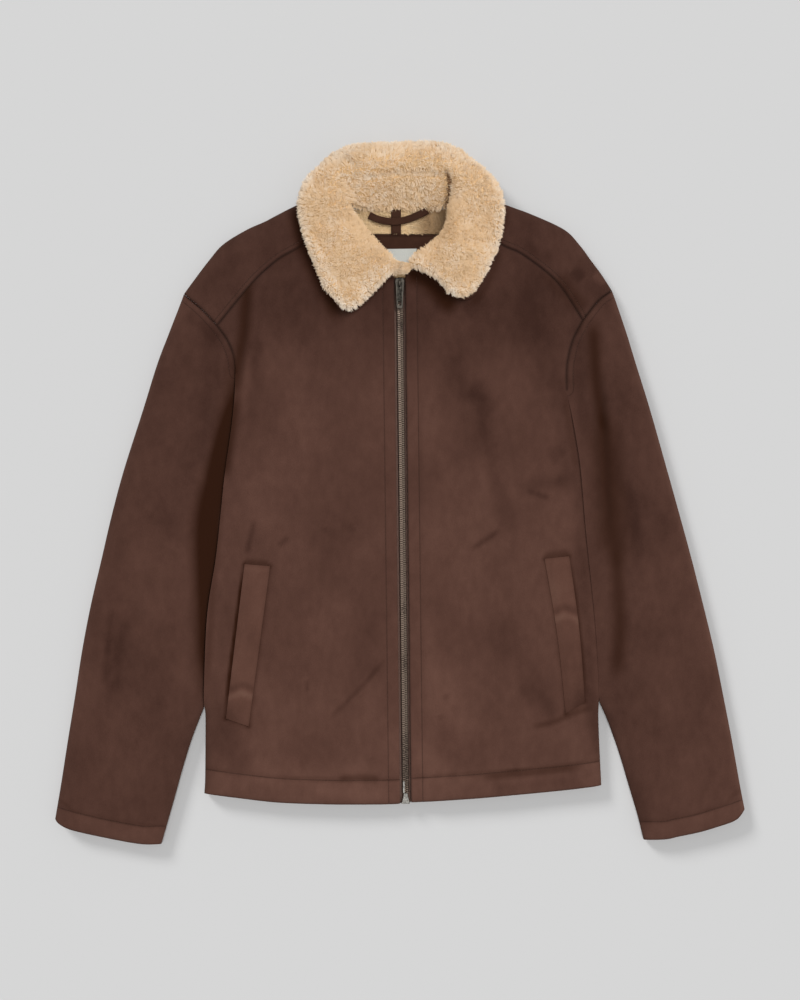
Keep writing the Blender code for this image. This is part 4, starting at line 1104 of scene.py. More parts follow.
def build_sleeves(step, under_step):
    """Both sleeves, each a top and an under sleeve."""
    for side in ("right", "left"):
        armhole, cuff = seam(side, "armhole_low", "armhole_high"), cuff_line(side)
        plan = sleeve_plan(side, step)
        points = plan.reshape(-1, 2)
        from_cuff, from_outer = gap(points, cuff), gap(points, seam(side, "sleeve_outer"))
        # Painted highlight along the sleeve's outer edge: its nap is made lighter there.
        rim = 0.25 if side == "right" else 0.36
        values = {
            "seam_mm": gap(points, armhole),
            "stitch_a": gap(points, armhole) - ARMHOLE_STITCH,
            "stitch_b": from_cuff - CUFF_STITCH,
            "nap": (strokes(points, NAP_AND_SHADE_STROKES[side, "sleeve"]) + 0.26
                    + 0.10 * eased((points[:, 1] + 120) / 320)
                    - rim * bell(from_outer / (6 + 4 * rim)) - 0.25 * rim * bell(from_outer / 34)
                    - 0.25 * eased((CUFF_STITCH + 1 - from_cuff) / 4)),
            "deep": np.clip(strokes(points, VALLEYS[side, "sleeve"])
                            + turned_edge(points, gap(points, seam(side, "cuff")), CUFF_STITCH, 63), 0, 1),
        }
        made = cloth_panel(f"sleeve_top_cloth_{side}", f"sleeve_top_{side}", plan, sleeve_top(side),
                           sleeve_hollow(side), values, ("suede", "teddy_lining"), "suede",
                           values["stitch_b"] + HEM_STITCH)
        plan = sleeve_plan(side, under_step)
        points = plan.reshape(-1, 2)
        from_cuff = gap(points, cuff)
        from_sides = gap(points, seam(side, "sleeve_outer"), seam(side, "sleeve_inner"))
        values = {**no_lines(len(points)), "stitch_b": from_cuff - CUFF_STITCH,
                  "nap": 0.15 * ripple(points, (70, 120), 33),
                  "deep": turned_edge(points, from_cuff, CUFF_STITCH, 64)}
        under = underside(seam(side, "sleeve_outer"), seam(side, "sleeve_inner"))
        made = cloth_panel(f"sleeve_under_cloth_{side}", f"sleeve_under_{side}", plan, flat(BACK_WALL), under,
                           values, ("suede", "teddy_lining"), "suede",
                           np.minimum(from_cuff - CUFF_STITCH, from_sides - SEAM_ALLOWANCE) + HEM_STITCH,
                           shown="bottom")


def build_welts():
    """Pocket welts: strips that lie on the front. Their face swells softly from all four edges, thins to both
    ends and sags in one soft fold across, which dips in its middle."""
    for side, fold_y, darker in (("right", -226.0, -0.04), ("left", -137.0, 0.44)):
        outer, inner, top, foot_edge = welt_lines(side)
        rows = walk(outer, np.linspace(0, length(outer), 96)), walk(inner, np.linspace(0, length(inner), 96))
        share = (1 - np.cos(np.linspace(0, math.pi, 15))) / 2
        plan = facing_up(rows[0][:, None] + share[None, :, None] * (rows[1] - rows[0])[:, None])
        points = plan.reshape(-1, 2)
        ground = body_top(side)(points).reshape(plan.shape[:2]) + WELT_LIFT
        from_long, from_end = gap(points, outer, inner), gap(points, top, foot_edge)
        from_fold = points[:, 1] - fold_y - 5 * bell((gap(points, outer) - 14) / 16)
        thick = 0.2 + 2.0 * eased(from_long / 8) * eased(from_end / 8)
        thick -= 0.5 * bell(from_fold / 8) + 0.3 * ripple(points, (14, 26), 41)
        thick = np.clip(thick, 0.2, 3.0).reshape(plan.shape[:2])
        mesh_points, faces, _ = shell(np.dstack([plan, ground + thick]), np.dstack([plan, ground]))
        values = {
            **no_lines(len(points)),
            # Painted shade on the fold with a painted highlight just below it, a change of tone towards the
            # foot, and painted shade round the outer corner of the foot.
            "nap": (0.42 * bell(from_fold / 8) - 0.42 * bell((from_fold + 9) / 8)
                    + 0.18 * ripple(points, (30, 26), 42) + darker * eased((-130 - points[:, 1]) / 90)
                    + 0.45 * bell(np.linalg.norm(points - WELTS[side][3], axis=1) / 26)),
            # Painted shade along the welt's ends and long edges.
            "deep": 0.18 * bell(from_end / 4) + 0.14 * bell(from_long / 3.2),
        }
        floats = {key: np.tile(value, 2) for key, value in values.items()}
        made = add_piece(f"pocket_welt_cloth_{side}", mesh_points, faces, [material("suede_welt")],
                         f"pocket_welt_{side}", "suede_welt", floats=floats, sharp_from=60)


# ------------------------------------------------------------------ stitching

def stitch_rows():
    """Every row of topstitching: its line in plan and the height rule of the cloth it is sewn through."""
    rows = []
    for side in ("right", "left"):
        face, sleeve, yoke_face = front_face(side), sleeve_top(side), body_top(side)
        y = np.linspace(-355, 246, 120)
        sign = -1 if side == "right" else 1
        rows.append((np.column_stack([zip_x(y) + sign * (ZIP_HALF_GAP + ZIP_STITCH), y]), face))
        turn = 1 if side == "right" else -1
        hem = shifted(seam(side, "hem"), -HEM_STITCH * turn)
        rows.append((hem[(np.abs(hem[:, 0] - zip_x(hem[:, 1])) > 9) & (np.abs(hem[:, 0] - 1) < 226)], face))
        cuff = shifted(cuff_line(side), CUFF_STITCH * turn)
        rows.append((cuff[np.abs(cuff[:, 0]) < 391][:-2], sleeve))
        rows.append((shifted(seam(side, "armhole_low", "armhole_high"), ARMHOLE_STITCH * turn)[1:-2], sleeve))
        rows.append((shifted(seam(side, "yoke"), YOKE_STITCH * turn)[1:-1], yoke_face))
    return rows


def build_stitches(pitch, long):
    """Threads of the topstitching: each is a spindle whose four-sided rings swell from a point to full width
    and back, sunk into the cloth at both ends; one small mesh turned and carried to every stitch."""
    places, runs = [], []
    for line, face in stitch_rows():
        total = length(line)
        at = walk(line, np.arange(pitch / 2, total, pitch))
        places.append(np.column_stack([at, face(at) + 0.12]))
        runs.append(unit(walk(line, np.arange(pitch / 2, total, pitch) + 0.5) - at))
    places, runs = np.vstack(places), np.vstack(runs)
    good = np.linalg.norm(runs, axis=1) > 0.5
    places, runs = places[good], runs[good]
    along = np.array([-0.5, -0.38, 0.0, 0.38, 0.5]) * long
    wide, rise = np.array([0.0, 0.22, 0.30, 0.22, 0.0]), np.array([-0.35, -0.05, 0.05, -0.05, -0.35])
    angle = np.arange(4) * math.pi / 2 + math.pi / 4
    ring = np.stack([np.cos(angle), np.sin(angle)], axis=1)
    body = np.array([(a, w * c, r + w * s)
                     for a, w, r in zip(along[1:4], wide[1:4], rise[1:4]) for c, s in ring])
    local = np.vstack([body, [(along[0], 0, rise[0]), (along[4], 0, rise[4])]])
    ends = np.array([(12, (i + 1) % 4, i) for i in range(4)] + [(13, 8 + i, 8 + (i + 1) % 4) for i in range(4)])
    faces = [grid_faces(3, 4, wrap=True)[:, ::-1], ends[:, ::-1]]
    side = np.column_stack([-runs[:, 1], runs[:, 0]])
    turned = np.dstack([runs[:, None, 0] * local[:, 0] + side[:, None, 0] * local[:, 1],
                        runs[:, None, 1] * local[:, 0] + side[:, None, 1] * local[:, 1],
                        np.broadcast_to(local[:, 2], (len(runs), len(local)))])
    add_piece("stitching", (places[:, None] + turned).reshape(-1, 3), copied(faces, len(places), len(local)),
              [material("thread")], None, "suede")

# ------------------------------------------------------------------ collar

def collar_top(rows, share):
    """Height over a section: a sine rise from the inner lip to the crest, an eased fall to the outer edge, and
    a quarter circle down to the outer lip. Rows and shares are grids."""
    lip_in, place, crest, lip_out = (rows[:, None, k] for k in (6, 7, 8, 9))
    rise = lip_in + (crest - lip_in) * np.sin(np.clip(share / place, 0, 1) * math.pi / 2) ** 1.3
    fall = crest - (crest - lip_out - COLLAR_EDGE_RISE) * eased((share - place) / (1 - place))
    z = np.where(share < place, rise, fall)
    lip = lip_out + (z - lip_out) * rounded((1 - share) / COLLAR_ROUND)
    return np.where(share > 1 - COLLAR_ROUND, lip, z)


def wing_bow(plan, share, near, amount):
    """How far a wing is drawn up and outwards near its front end: a skewed half sine over its breadth."""
    bow = amount * near * np.sin(math.pi * share ** 1.15)
    return np.dstack([np.sign(plan[..., 0]) * 0.6 * bow, 0.8 * bow])


def collar_ground():
    """The knitted ground under the pile: the collar's face drawn in at all four edges and lowered by the pile's
    depth, with walls down to its base, rounded at both ends of the collar. Gives face and base grids and a tone
    for
    each point: paler towards the outer rim and falling below 0 towards the wings' inner edges, raised by
    painted light on the stand and at the wings' front ends, which lie in shade."""
    rows = spline(COLLAR, 12)
    middle = (rows[:, 0:2] + rows[:, 2:4]) / 2
    gone = distances(middle)
    keep = (gone > WING_END_INSET["right"]) & (gone < gone[-1] - WING_END_INSET["left"])
    rows, gone = rows[keep], gone[keep]
    walls = 3
    rows = np.vstack([rows[:1].repeat(walls, axis=0), rows, rows[-1:].repeat(walls, axis=0)])
    near = 1 - eased(np.minimum(gone - gone[0], gone[-1] - gone) / 40)
    near = np.concatenate([np.ones(walls), near, np.ones(walls)])[:, None]
    rights = (np.arange(len(rows)) < len(rows) // 2)[:, None]
    wide = np.linalg.norm(rows[:, 2:4] - rows[:, 0:2], axis=1)[:, None]
    even = np.linspace(0, 1, 44)
    hung = eased((30 - rows[:, 6:7]) / 12)
    mid, end = (np.where(rights, NECK_INSET["right"][k], NECK_INSET["left"][k]) for k in (0, 1))
    inner = (mid + (end - mid) * near + (1.0 - mid) * hung) / wide
    rims = [np.interp(rows[:, 3:4], *zip(*RIM_INSET[side])) for side in ("right", "left")]
    outer = np.where(rights, *rims) / wide
    share = inner + (1 - inner - outer) * even[None]
    # The pile's own tone, paler to the outer rim and tan to the wings' inner edges, with painted light on the
    # stand (hung) and at the wings' front ends (near).
    rim = (eased((share - 0.74) / 0.22) * (1 - 0.5 * hung) - 0.35 * eased((0.34 - share) / 0.28) * (1 - hung)
           + 0.36 * hung + 0.9 * near ** 5)
    share, rim = (np.pad(grid, ((0, 0), (walls, walls)), mode="edge") for grid in (share, rim))
    plan = rows[:, None, 0:2] + share[..., None] * (rows[:, 2:4] - rows[:, 0:2])[:, None]
    plan += wing_bow(plan, share, near, np.where(rights, WING_BOW["right"], WING_BOW["left"]))
    base = np.maximum(rows[:, None, 4] + (rows[:, None, 5] - rows[:, None, 4]) * share, 0.6)
    face = collar_top(rows, share) - PILE_DEPTH
    points = plan.reshape(-1, 2)
    for route, half, depth in COLLAR_FOLDS:
        reach, along, _ = foot(points, curve(route, 6.0))
        face -= (depth * bell(reach / half) * eased(np.sin(math.pi * along) * 2.2)).reshape(face.shape)
    face += (0.9 * ripple(points, (9, 9), 51) + 0.5 * ripple(points, (4, 4), 52)).reshape(face.shape)
    climb = np.arange(walls) / walls
    end, down = (np.concatenate([climb, np.ones(count - 2 * walls), 1 - climb - 1 / walls])
                 for count in share.shape)
    full = rounded(np.minimum(down[None], end[:, None]))
    face = base + 0.5 + np.maximum(face - base - 0.5, 2.0) * full
    top, low = np.dstack([plan, face]), np.dstack([plan, base])
    cross = np.cross(top[0, 10] - top[0, 9], top[10, 9] - top[9, 9])
    return (top, low, rim) if cross[2] > 0 else (top[:, ::-1], low[:, ::-1], rim[:, ::-1])


def meeting_ground():
    """The small slope between the wings' front ends, over the zip's top; its pile closes the gap."""
    plan = plain_plan([(-8, 250.5), (9, 251)], [(9, 251), (16, 261)], [(-12, 267), (16, 261)],
                      [(-8, 250.5), (-12, 267)], 8, 12)
    up = np.broadcast_to(np.linspace(0, 1, 8)[:, None], (8, 12))
    return np.dstack([plan, 20.5 + 6 * eased(up * 1.3)]), 0.5 - 0.4 * up


def grid_normals(grid):
    """Unit normals of a grid: the cross product of its two central differences."""
    return unit(np.cross(np.gradient(grid, axis=1), np.gradient(grid, axis=0)))


def scattered(grid, count, rng):
    """Places drawn at random over a grid in proportion to area, as a function that reads values there."""
    a, b, c, d = grid[:-1, :-1], grid[:-1, 1:], grid[1:, 1:], grid[1:, :-1]
    area = np.linalg.norm(np.cross(b - a, d - a), axis=2) + np.linalg.norm(np.cross(b - c, d - c), axis=2)
    cell = rng.choice(area.size, count, p=area.ravel() / area.sum())
    r, k = np.divmod(cell, grid.shape[1] - 1)
    u, v = rng.random((2, count, 1))

    def blend(values):
        return ((1 - u) * (1 - v) * values[r, k] + u * (1 - v) * values[r, k + 1]
                + (1 - u) * v * values[r + 1, k] + u * v * values[r + 1, k + 1])
    return blend


def gathered(root, lock, seed):
    """Gathers strands into locks: roots, moved a little by soft relief, are sorted into cells as wide as a lock
    and twice as high. Gives each strand's lock number and the middle of its lock's roots."""
    warp = np.column_stack([ripple(root, (13, 13), seed + 1), ripple(root, (13, 13), seed + 2)]) * 4.0
    places = np.floor((root[:, :2] + warp) / lock + 500).astype(int)
    levels = np.floor(root[:, 2] / (2 * lock)).astype(int)
    _, member = np.unique(places[:, 0] * 1000003 + places[:, 1] * 101 + levels, return_inverse=True)
    middle = np.column_stack([np.bincount(member, axis) for axis in root.T]) / np.bincount(member)[:, None]
    return member, middle[member]


def heading(angle):
    """Level arrows at the given angles."""
    return np.column_stack([np.cos(angle), np.sin(angle), np.zeros(len(angle))])


def strand_tubes(root, out, side, reach, phase, crimp, middle, thick, lean):
    """Three-sided tubes on the line root + outwards x length + lean x share squared + a turning crimp, with the
    tip drawn towards the middle of the lock and tapered to a point. Gives points and their directions, which
    are mostly the ground's own, as in soft pile."""
    other, angle = np.cross(out, side), np.arange(3) * 2 * math.pi / 3
    round_about = np.cos(angle)[:, None, None] * side + np.sin(angle)[:, None, None] * other
    tall, soft = 1 - 0.35 * lean, unit(out + (0, 0, PILE_UP))
    rings, facing = [], []
    for share, width in STRAND_RINGS:
        turn = phase + CRIMP_TURN * share
        centre = root + out * reach * share * tall * (1 - 0.12 * share) + side * reach * lean * share ** 2
        centre = centre + crimp * share * (np.cos(turn) * side + np.sin(turn) * other)
        centre = centre + LOCK_PULL * share ** 2 * (middle + out * reach * 0.75 - centre)
        rings.append(centre[None] + thick * width * round_about if width else centre[None])
        facing.append(PILE_SOFT * soft + (1 - PILE_SOFT) * round_about if width else soft[None])
    points, facing = (np.concatenate(rows).transpose(1, 0, 2) for rows in (rings, facing))
    points[..., 2] = np.maximum(points[..., 2], 0.3)
    return points.reshape(-1, 3), unit(facing.reshape(-1, 3))


def pile_strands(grid, count, long, thick, seed, shade, lock=4.4, lean=0.5, meet=None, rim=None):
    """Crimped pile on a grid. Strands of one lock share lean, crimp and tone; shade gives how deep in shade a
    root lies, and round meet the strands are longer and lean towards it. Gives points, faces, floats and
    normals."""
    rng = np.random.default_rng(seed)
    blend = scattered(grid, count, rng)
    root, out = blend(grid), unit(blend(grid_normals(grid)))
    member, middle = gathered(root, lock, seed)
    locks = member.max() + 1
    swirl = math.pi * (ripple(root, (34, 34), seed + 3) * 1.5 + 0.5)
    lock_turn = rng.uniform(0, 2 * math.pi, locks)[member]
    drift = heading(swirl) + 0.7 * heading(lock_turn) + rng.normal(0, 0.45, (count, 3))
    pull = np.zeros((count, 1))
    if meet is not None:
        away = meet - root
        pull = bell(np.linalg.norm(away[:, :2], axis=1, keepdims=True) / MEET_REACH)
        drift += 2.4 * pull * unit(away)
    side = unit(drift - (drift * out).sum(1, keepdims=True) * out)
    reach = long * (0.75 + 0.25 * rng.random(locks)[member] + 0.40 * rng.random(count))[:, None]
    reach = reach * (1 + 1.3 * pull)
    reach *= 1 + 0.55 * (1 - np.clip(out[:, 2:], 0, 1)) * (rng.random((count, 1)) - 0.3)
    phase = (lock_turn * 2 + rng.normal(0, 0.8, count))[:, None]
    crimp = CRIMP * (0.6 + 0.7 * rng.random(locks)[member])[:, None]
    points, facing = strand_tubes(root, out, side, reach, phase, crimp, middle, thick, lean)
    along = np.repeat([share for share, _ in STRAND_RINGS], (3, 3, 3, 1))
    tips = np.array([(6, 7, 9), (7, 8, 9), (8, 6, 9), (2, 1, 0)])
    faces = copied([grid_faces(3, 3, wrap=True), tips], count, len(along))
    tone = np.clip(rng.normal(0, 0.42, locks)[member] + rng.normal(0, 0.3, count), -1, 1)
    rim_tone_and_light = np.zeros(count) if rim is None else blend(rim[..., None])[:, 0]
    floats = {"tint": tone, "deep": shade(root[:, :2]), "rim": rim_tone_and_light}
    floats = {key: np.repeat(value, len(along)) for key, value in floats.items()}
    return points, faces, {"tip": np.tile(along, count), **floats}, facing


def collar_shade(points):
    """How deep in shade the pile lies: along the lines where the collar folds onto itself."""
    return np.clip(strokes(points, COLLAR_SHADES), 0, 1)


def build_collar(strands, long, thick):
    """Upper collar: the padded ground and its pile in three stretches, with a small one between the wings."""
    top, low, rim = collar_ground()
    points, faces, _ = shell(top, low)
    ground = add_piece("collar_ground", points, faces, [material("pile_ground")], "collar_upper", "teddy")
    cuts = [0, *(round(len(top) * share) for share in PILE_CUTS), len(top) - 1]
    stretches = [(name, top[first:last + 1], rim[first:last + 1], strands)
                 for name, first, last in zip(("right", "back", "left"), cuts, cuts[1:])]
    stretches.append(("middle", *meeting_ground(), strands // 20))
    lit = strands_let_through()
    for name, grid, rim_tone_and_light, count in stretches:
        points, faces, floats, facing = pile_strands(grid, count, long, thick, 60 + len(grid), collar_shade,
                                                     meet=np.array(WINGS_MEET), rim=rim_tone_and_light)
        lit.objects.link(add_piece(f"collar_pile_{name}", points, faces, [material("teddy")], "collar_upper",
                                   "teddy", floats=floats, normals=facing))
    for member in lit.collection_objects:
        member.light_linking.link_state = "EXCLUDE"


def build_under_collars():
    """Under collar, suede side out, where it shows below the wings, painted in deep shade all over, as it lies
    under them.
    """
    for side, (first, last) in WING_ROWS.items():
        sections = spline(COLLAR[first:last + 1], 8)
        share = np.linspace(*UNDER_COLLAR_SPAN, 16)
        plan = sections[:, None, 0:2] + share[None, :, None] * (sections[:, 2:4] - sections[:, 0:2])[:, None]
        near = bell(np.linalg.norm(plan[:, 8] - plan[0 if side == "right" else -1, 8], axis=1) / 40)[:, None]
        plan = facing_up(plan + wing_bow(plan, share[None], near, WING_BOW[side] + 1.5))
        wave = 0.15 * ripple(plan.reshape(-1, 2), (20, 20), 55).reshape(plan.shape[:2])
        # Painted shade over the whole under collar.
        made = trim(f"under_collar_{side}", plan, 23.1 + wave, 21.5 + wave, "suede", f"collar_under_{side}",
                    "suede", deep=0.6)


def trim(name, plan, face, base, cloth, node, slot, **values):
    """A small panel between two height grids; values are its floats, single or one for each plan point."""
    points, faces, _ = shell(np.dstack([plan, face]), np.dstack([plan, np.broadcast_to(base, face.shape)]))
    floats = {**no_lines(face.size), "nap": 0.0, "deep": 0.0, **values}
    floats = {key: np.tile(np.broadcast_to(value, face.size), 2) for key, value in floats.items()}
    return add_piece(name, points, faces, [material(cloth)], node, slot, floats=floats, sharp_from=50)


# ------------------------------------------------------------------ neck

def plain_plan(south, east, north, west, rows, columns):
    """Even plan grid over four short rails."""
    runs = [np.array(run, float) for run in (south, east, north, west)]
    rails = [walk(run, np.linspace(0, length(run), n)) for run, n in zip(runs, (columns, rows, columns, rows))]
    u, v = np.linspace(0, 1, columns)[None, :, None], np.linspace(0, 1, rows)[:, None, None]
    return coons(rails, (runs[0][0], runs[0][-1], runs[2][0], runs[2][-1]), u, v)


def lining_shade(points):
    """How deep in shade the neck's lining lies: more under the left wing, and a little under the loop."""
    return (0.70 * eased((points[:, 0] - 4) / 30) * eased((331 - points[:, 1]) / 7)
            + 0.22 * bell(gap(points, curve([at[:2] for at in LOOP])) / 7))


def build_lining(strands, thick):
    """Pile lining inside the neck: its ground and its strands."""
    plan = plain_plan([(-48, 297.4), (46, 297.4)], [(46, 297.4), (62, 312), (68, 325.5)],
                      [(-66, 325.5), (68, 325.5)], [(-48, 297.4), (-60, 311), (-66, 325.5)], 14, 50)
    points = plan.reshape(-1, 2)
    face = (9.2 + 0.5 * ripple(points, (6, 6), 71)).reshape(plan.shape[:2])
    points3, faces, _ = shell(np.dstack([plan, face]), np.dstack([plan, np.full(face.shape, 8.3)]))
    lining = add_piece("neck_lining_ground", points3, faces, [material("teddy_lining")], "neck_lining", "teddy",
                       floats={"deep": np.tile(0.9 * lining_shade(points), 2)})
    points3, face_sets, floats, facing = pile_strands(np.dstack([plan, face]), strands, 3.2, thick, 72,
                                                      lining_shade, lock=4.5, lean=0.9)
    add_piece("neck_lining_pile", points3, face_sets, [material("teddy_lining")], "neck_lining", "teddy",
              floats=floats, normals=facing)


def build_facing():
    """Facing band across the neck, stitched along its upper edge."""
    plan = plain_plan([(-19, 272), (19, 272)], [(19, 272), (44, 297)], [(-45, 297), (44, 297)],
                      [(-19, 272), (-45, 297)], 16, 40)
    points = plan.reshape(-1, 2)
    face = (9.7 + 0.25 * ripple(points, (22, 12), 73)).reshape(plan.shape[:2])
    return trim("neck_facing_band", plan, face, 8.3, "suede_trim", "neck_facing", "suede",
                seam_mm=297.0 - points[:, 1], stitch_b=294.0 - points[:, 1],
                nap=0.1 * ripple(points, (12, 8), 74))


def build_tape():
    """Tape down the middle of the neck: its long edges are rounded and its foot goes under the facing band."""
    left, right, foot_y, top_y = -10.9, 0.6, 295.6, 325
    plan = plain_plan([(left, foot_y), (right, foot_y)], [(right, foot_y), (right, top_y)],
                      [(left, top_y), (right, top_y)], [(left, foot_y), (left, top_y)], 20, 9)
    x, y = plan[..., 0], plan[..., 1]
    face = 11.9 + 0.9 * rounded(np.minimum(x - left, right - x) / 1.6) - 2.6 * eased((299 - y) / 3.5)
    return trim("neck_tape_strip", plan, face, face - 1.3, "suede_trim", "neck_tape", "suede")


def build_label():
    """Label of woven satin, left bare, raised at its lower edge."""
    plan = plain_plan([(-13.5, 264), (16.5, 264)], [(16.5, 264), (18.6, 280.4)], [(-15.4, 280), (18.6, 280.4)],
                      [(-13.5, 264), (-15.4, 280)], 14, 24)
    wave = 0.15 * ripple(plan.reshape(-1, 2), (9, 9), 75).reshape(plan.shape[:2])
    face = 10.6 + 0.9 * eased((274 - plan[..., 1]) / 9) + wave
    return trim("neck_label_bare", plan, face, face - 0.5, "label", "neck_label", "label")


def build_loop():
    """Hanger loop: a flat strip with rounded edges, carried along its sagging route."""
    route = curve(LOOP, 1.6)
    run = unit(np.gradient(route, axis=0))
    across = unit(np.column_stack([-run[:, 1], run[:, 0], np.zeros(len(run))]))
    turn = np.linspace(0, 2 * math.pi, 15)[:-1]
    box = np.column_stack([np.sign(np.cos(turn)) * np.abs(np.cos(turn)) ** 0.45 * 4.1,
                           1.0 + np.sign(np.sin(turn)) * np.abs(np.sin(turn)) ** 0.7 * 1.0])
    points, quads, caps = tube(route, across, np.broadcast_to((0.0, 0.0, 1.0), route.shape), box)
    values = {**no_lines(len(points)), "nap": 0.2 * ripple(points, (9, 9), 76), "deep": np.zeros(len(points))}
    return add_piece("hanger_loop_strip", points, [quads, caps], [material("suede_trim")], "hanger_loop",
                     "suede", floats=values, sharp_from=60)


def build_neck(strands, thick):
    """What shows inside the collar: pile lining, facing band, tape, bare label and hanger loop."""
    build_lining(strands, thick)
    facing, sewn_on = build_facing(), [build_tape(), build_label(), build_loop()]

# ------------------------------------------------------------------ zip

def build_zip(pitch):
    """Tapes with a corded edge, the two rows of cast teeth, and the pin and box at the foot."""
    for side, sign in (("right", -1), ("left", 1)):
        y = np.linspace(-355, 247, 160)
        offsets = np.array([0.15, 0.8, 1.6, 2.4, 3.0, 4.5, 6.0, 8.0, 11.0, 15.0])
        plan = np.dstack([zip_x(y)[:, None] + sign * offsets[None], np.broadcast_to(y[:, None], (160, 10))])
        plan = plan if sign > 0 else plan[:, ::-1]
        from_middle = np.abs(plan[..., 0] - zip_x(plan[..., 1]))
        fold = 1.6 if sign < 0 else 0
        face = 11.6 + 0.5 * bell((from_middle - 4.2) / 1.4) + fold * bell((from_middle - 5.6) / 1.4)
        points, faces, _ = shell(np.dstack([plan, face]), np.dstack([plan, np.full(face.shape, 10.8)]))
        made = add_piece(f"zip_tape_cloth_{side}", points, faces, [material("tape")], f"zip_tape_{side}",
                         "zip_tape", sharp_from=60)
        build_teeth(side, sign, pitch)
    foot_x = float(zip_x(-351.0))
    block = puck([(-4.8, -357.0), (4.8, -357.0), (4.2, -353.0), (2.9, -347.5), (2.4, -344.6), (-2.4, -344.6),
                  (-2.9, -347.5), (-4.2, -353.0)], 15.0, 18.2, 0.8, foot_x)
    pin = puck([(-3.0, -345.0), (-1.2, -345.0), (-1.2, -331.0), (-3.0, -331.0)], 14.6, 16.4, 0.5, foot_x)
    add_piece("zip_box_and_pin", *joined([block, pin]), [material("box")], "zip_box", "zip_metal",
              sharp_from=40)


def joined(parts):
    """Several small meshes as one: points stacked, faces counted on, gathered by their number of corners."""
    points, sets, first = [], {}, 0
    for part_points, part_faces in parts:
        for faces in part_faces:
            sets.setdefault(faces.shape[1], []).append(faces + first)
        points.append(part_points)
        first += len(part_points)
    return np.vstack(points), [np.vstack(faces) for faces in sets.values()]


def puck(outline, low, high, edge, x=0.0, y=0.0):
    """A flat casting: its outline at four levels, drawn in by edge at top and bottom, with both ends capped."""
    line = np.array(outline, float)
    middle = line.mean(axis=0)
    away = line - middle
    shrink = 1 - edge / np.maximum(np.linalg.norm(away, axis=1, keepdims=True), 1e-6)
    drawn = middle + away * shrink
    levels = [(drawn, low), (line, low + edge), (line, high - edge), (drawn, high)]
    n = len(line)
    points = np.vstack([np.column_stack([ring, np.full(n, z)]) for ring, z in levels]) + (x, y, 0)
    return points, [grid_faces(4, n, wrap=True), np.array([np.arange(n)[::-1], np.arange(n) + 3 * n])]


def build_teeth(side, sign, pitch):
    """One row of teeth: an eight-cornered tooth with a domed back and a narrow nose, repeated every pitch along
    the leaning middle line; the two rows are half a pitch apart, so their noses mesh. The teeth's tops are
    lighter, as rubbed plating and as a painted glint, less near the ends and in three stretches, where the
    chain is painted darker."""
    profile_line = np.array([(-0.75, 12.3), (3.6, 12.2), (3.9, 13.2), (3.7, 14.6), (2.9, 15.2), (0.8, 15.1),
                             (-0.5, 14.6), (-0.9, 13.4)])
    half = np.array([0.52, 0.86, 0.90, 0.88, 0.62, 0.50, 0.40, 0.46]) * pitch / 2.1
    points = np.vstack([np.column_stack([sign * profile_line[:, 0], end * half, profile_line[:, 1]])
                        for end in (-1, 1)])
    quads = grid_faces(2, 8, wrap=True)
    caps = np.array([np.arange(8)[::-1], np.arange(8) + 8])
    if sign > 0:
        quads, caps = quads[:, ::-1], caps[:, ::-1]
    y = np.arange(-345 + (pitch / 2 if sign > 0 else 0), 246, pitch)
    toned = 1 - 0.7 * eased((-262 - y) / 24) * eased((y + 345) / 10) - 0.2 * eased((y - 170) / 30)
    toned -= sum(0.65 * bell((y - place) / reach) for place, reach in ((192, 24), (-135, 15), (-196, 25)))
    spread, faces = repeated(points, [quads, caps], np.column_stack([zip_x(y), y, np.zeros(len(y))]))
    add_piece(f"zip_teeth_row_{side}", spread, faces, [material("teeth")], f"zip_teeth_{side}", "zip_metal",
              floats={"rub_and_glint": np.tile(profile_line[:, 1] > 15, 2 * len(y)) * np.repeat(toned, 16)}, sharp_from=35)


def build_slider():
    """Slider: a waisted plate over the teeth with raised shoulders, a plate under them, and a bail, which is a
    round bar carried over a low arch."""
    x, y = TAB_HINGE[:2]
    plate = [(-4.2, 6.0), (-5.3, 3.4), (-5.5, -1.0), (-4.7, -8.0), (-4.4, -13.4), (-3.2, -15.0), (3.2, -15.0),
             (4.4, -13.4), (4.7, -8.0), (5.5, -1.0), (5.3, 3.4), (4.2, 6.0), (1.6, 6.8), (-1.6, 6.8)]
    upper = puck(plate, 15.5, 18.0, 0.6, x, y)
    lower = puck([(0.94 * px, 0.94 * py) for px, py in plate], 9.6, 11.2, 0.4, x, y)
    neck = puck([(-1.6, 5.6), (-1.6, 1.0), (0.0, -2.0), (1.6, 1.0), (1.6, 5.6)], 11.0, 15.6, 0.2, x, y)
    share = np.linspace(0, 1, 19)
    arch = np.column_stack([np.full(19, x), y + 3.5 * np.cos(math.pi * share),
                            17.6 + 4.4 * np.sin(math.pi * share) ** 0.6])
    run = unit(np.gradient(arch, axis=0))
    across = np.tile((1.0, 0.0, 0.0), (19, 1))
    turn = np.linspace(0, 2 * math.pi, 11)[:-1]
    bar = np.column_stack([1.15 * np.cos(turn), 0.75 * np.sin(turn)])
    points, quads, caps = tube(arch, across, np.cross(across, run), bar)
    points, faces = joined([upper, lower, neck, (points, [quads[:, ::-1], caps[:, ::-1]])])
    # Painted glints with rubbed plating: the bail's top and the plates' outer edges are made lighter.
    rub_and_glint = np.maximum(points[:, 2] > 21, np.abs(points[:, 0] - x) > 3.6)
    add_piece("zip_slider_cast", points, faces, [material("slider")], "zip_slider", "zip_metal",
              floats={"rub_and_glint": rub_and_glint}, sharp_from=40)


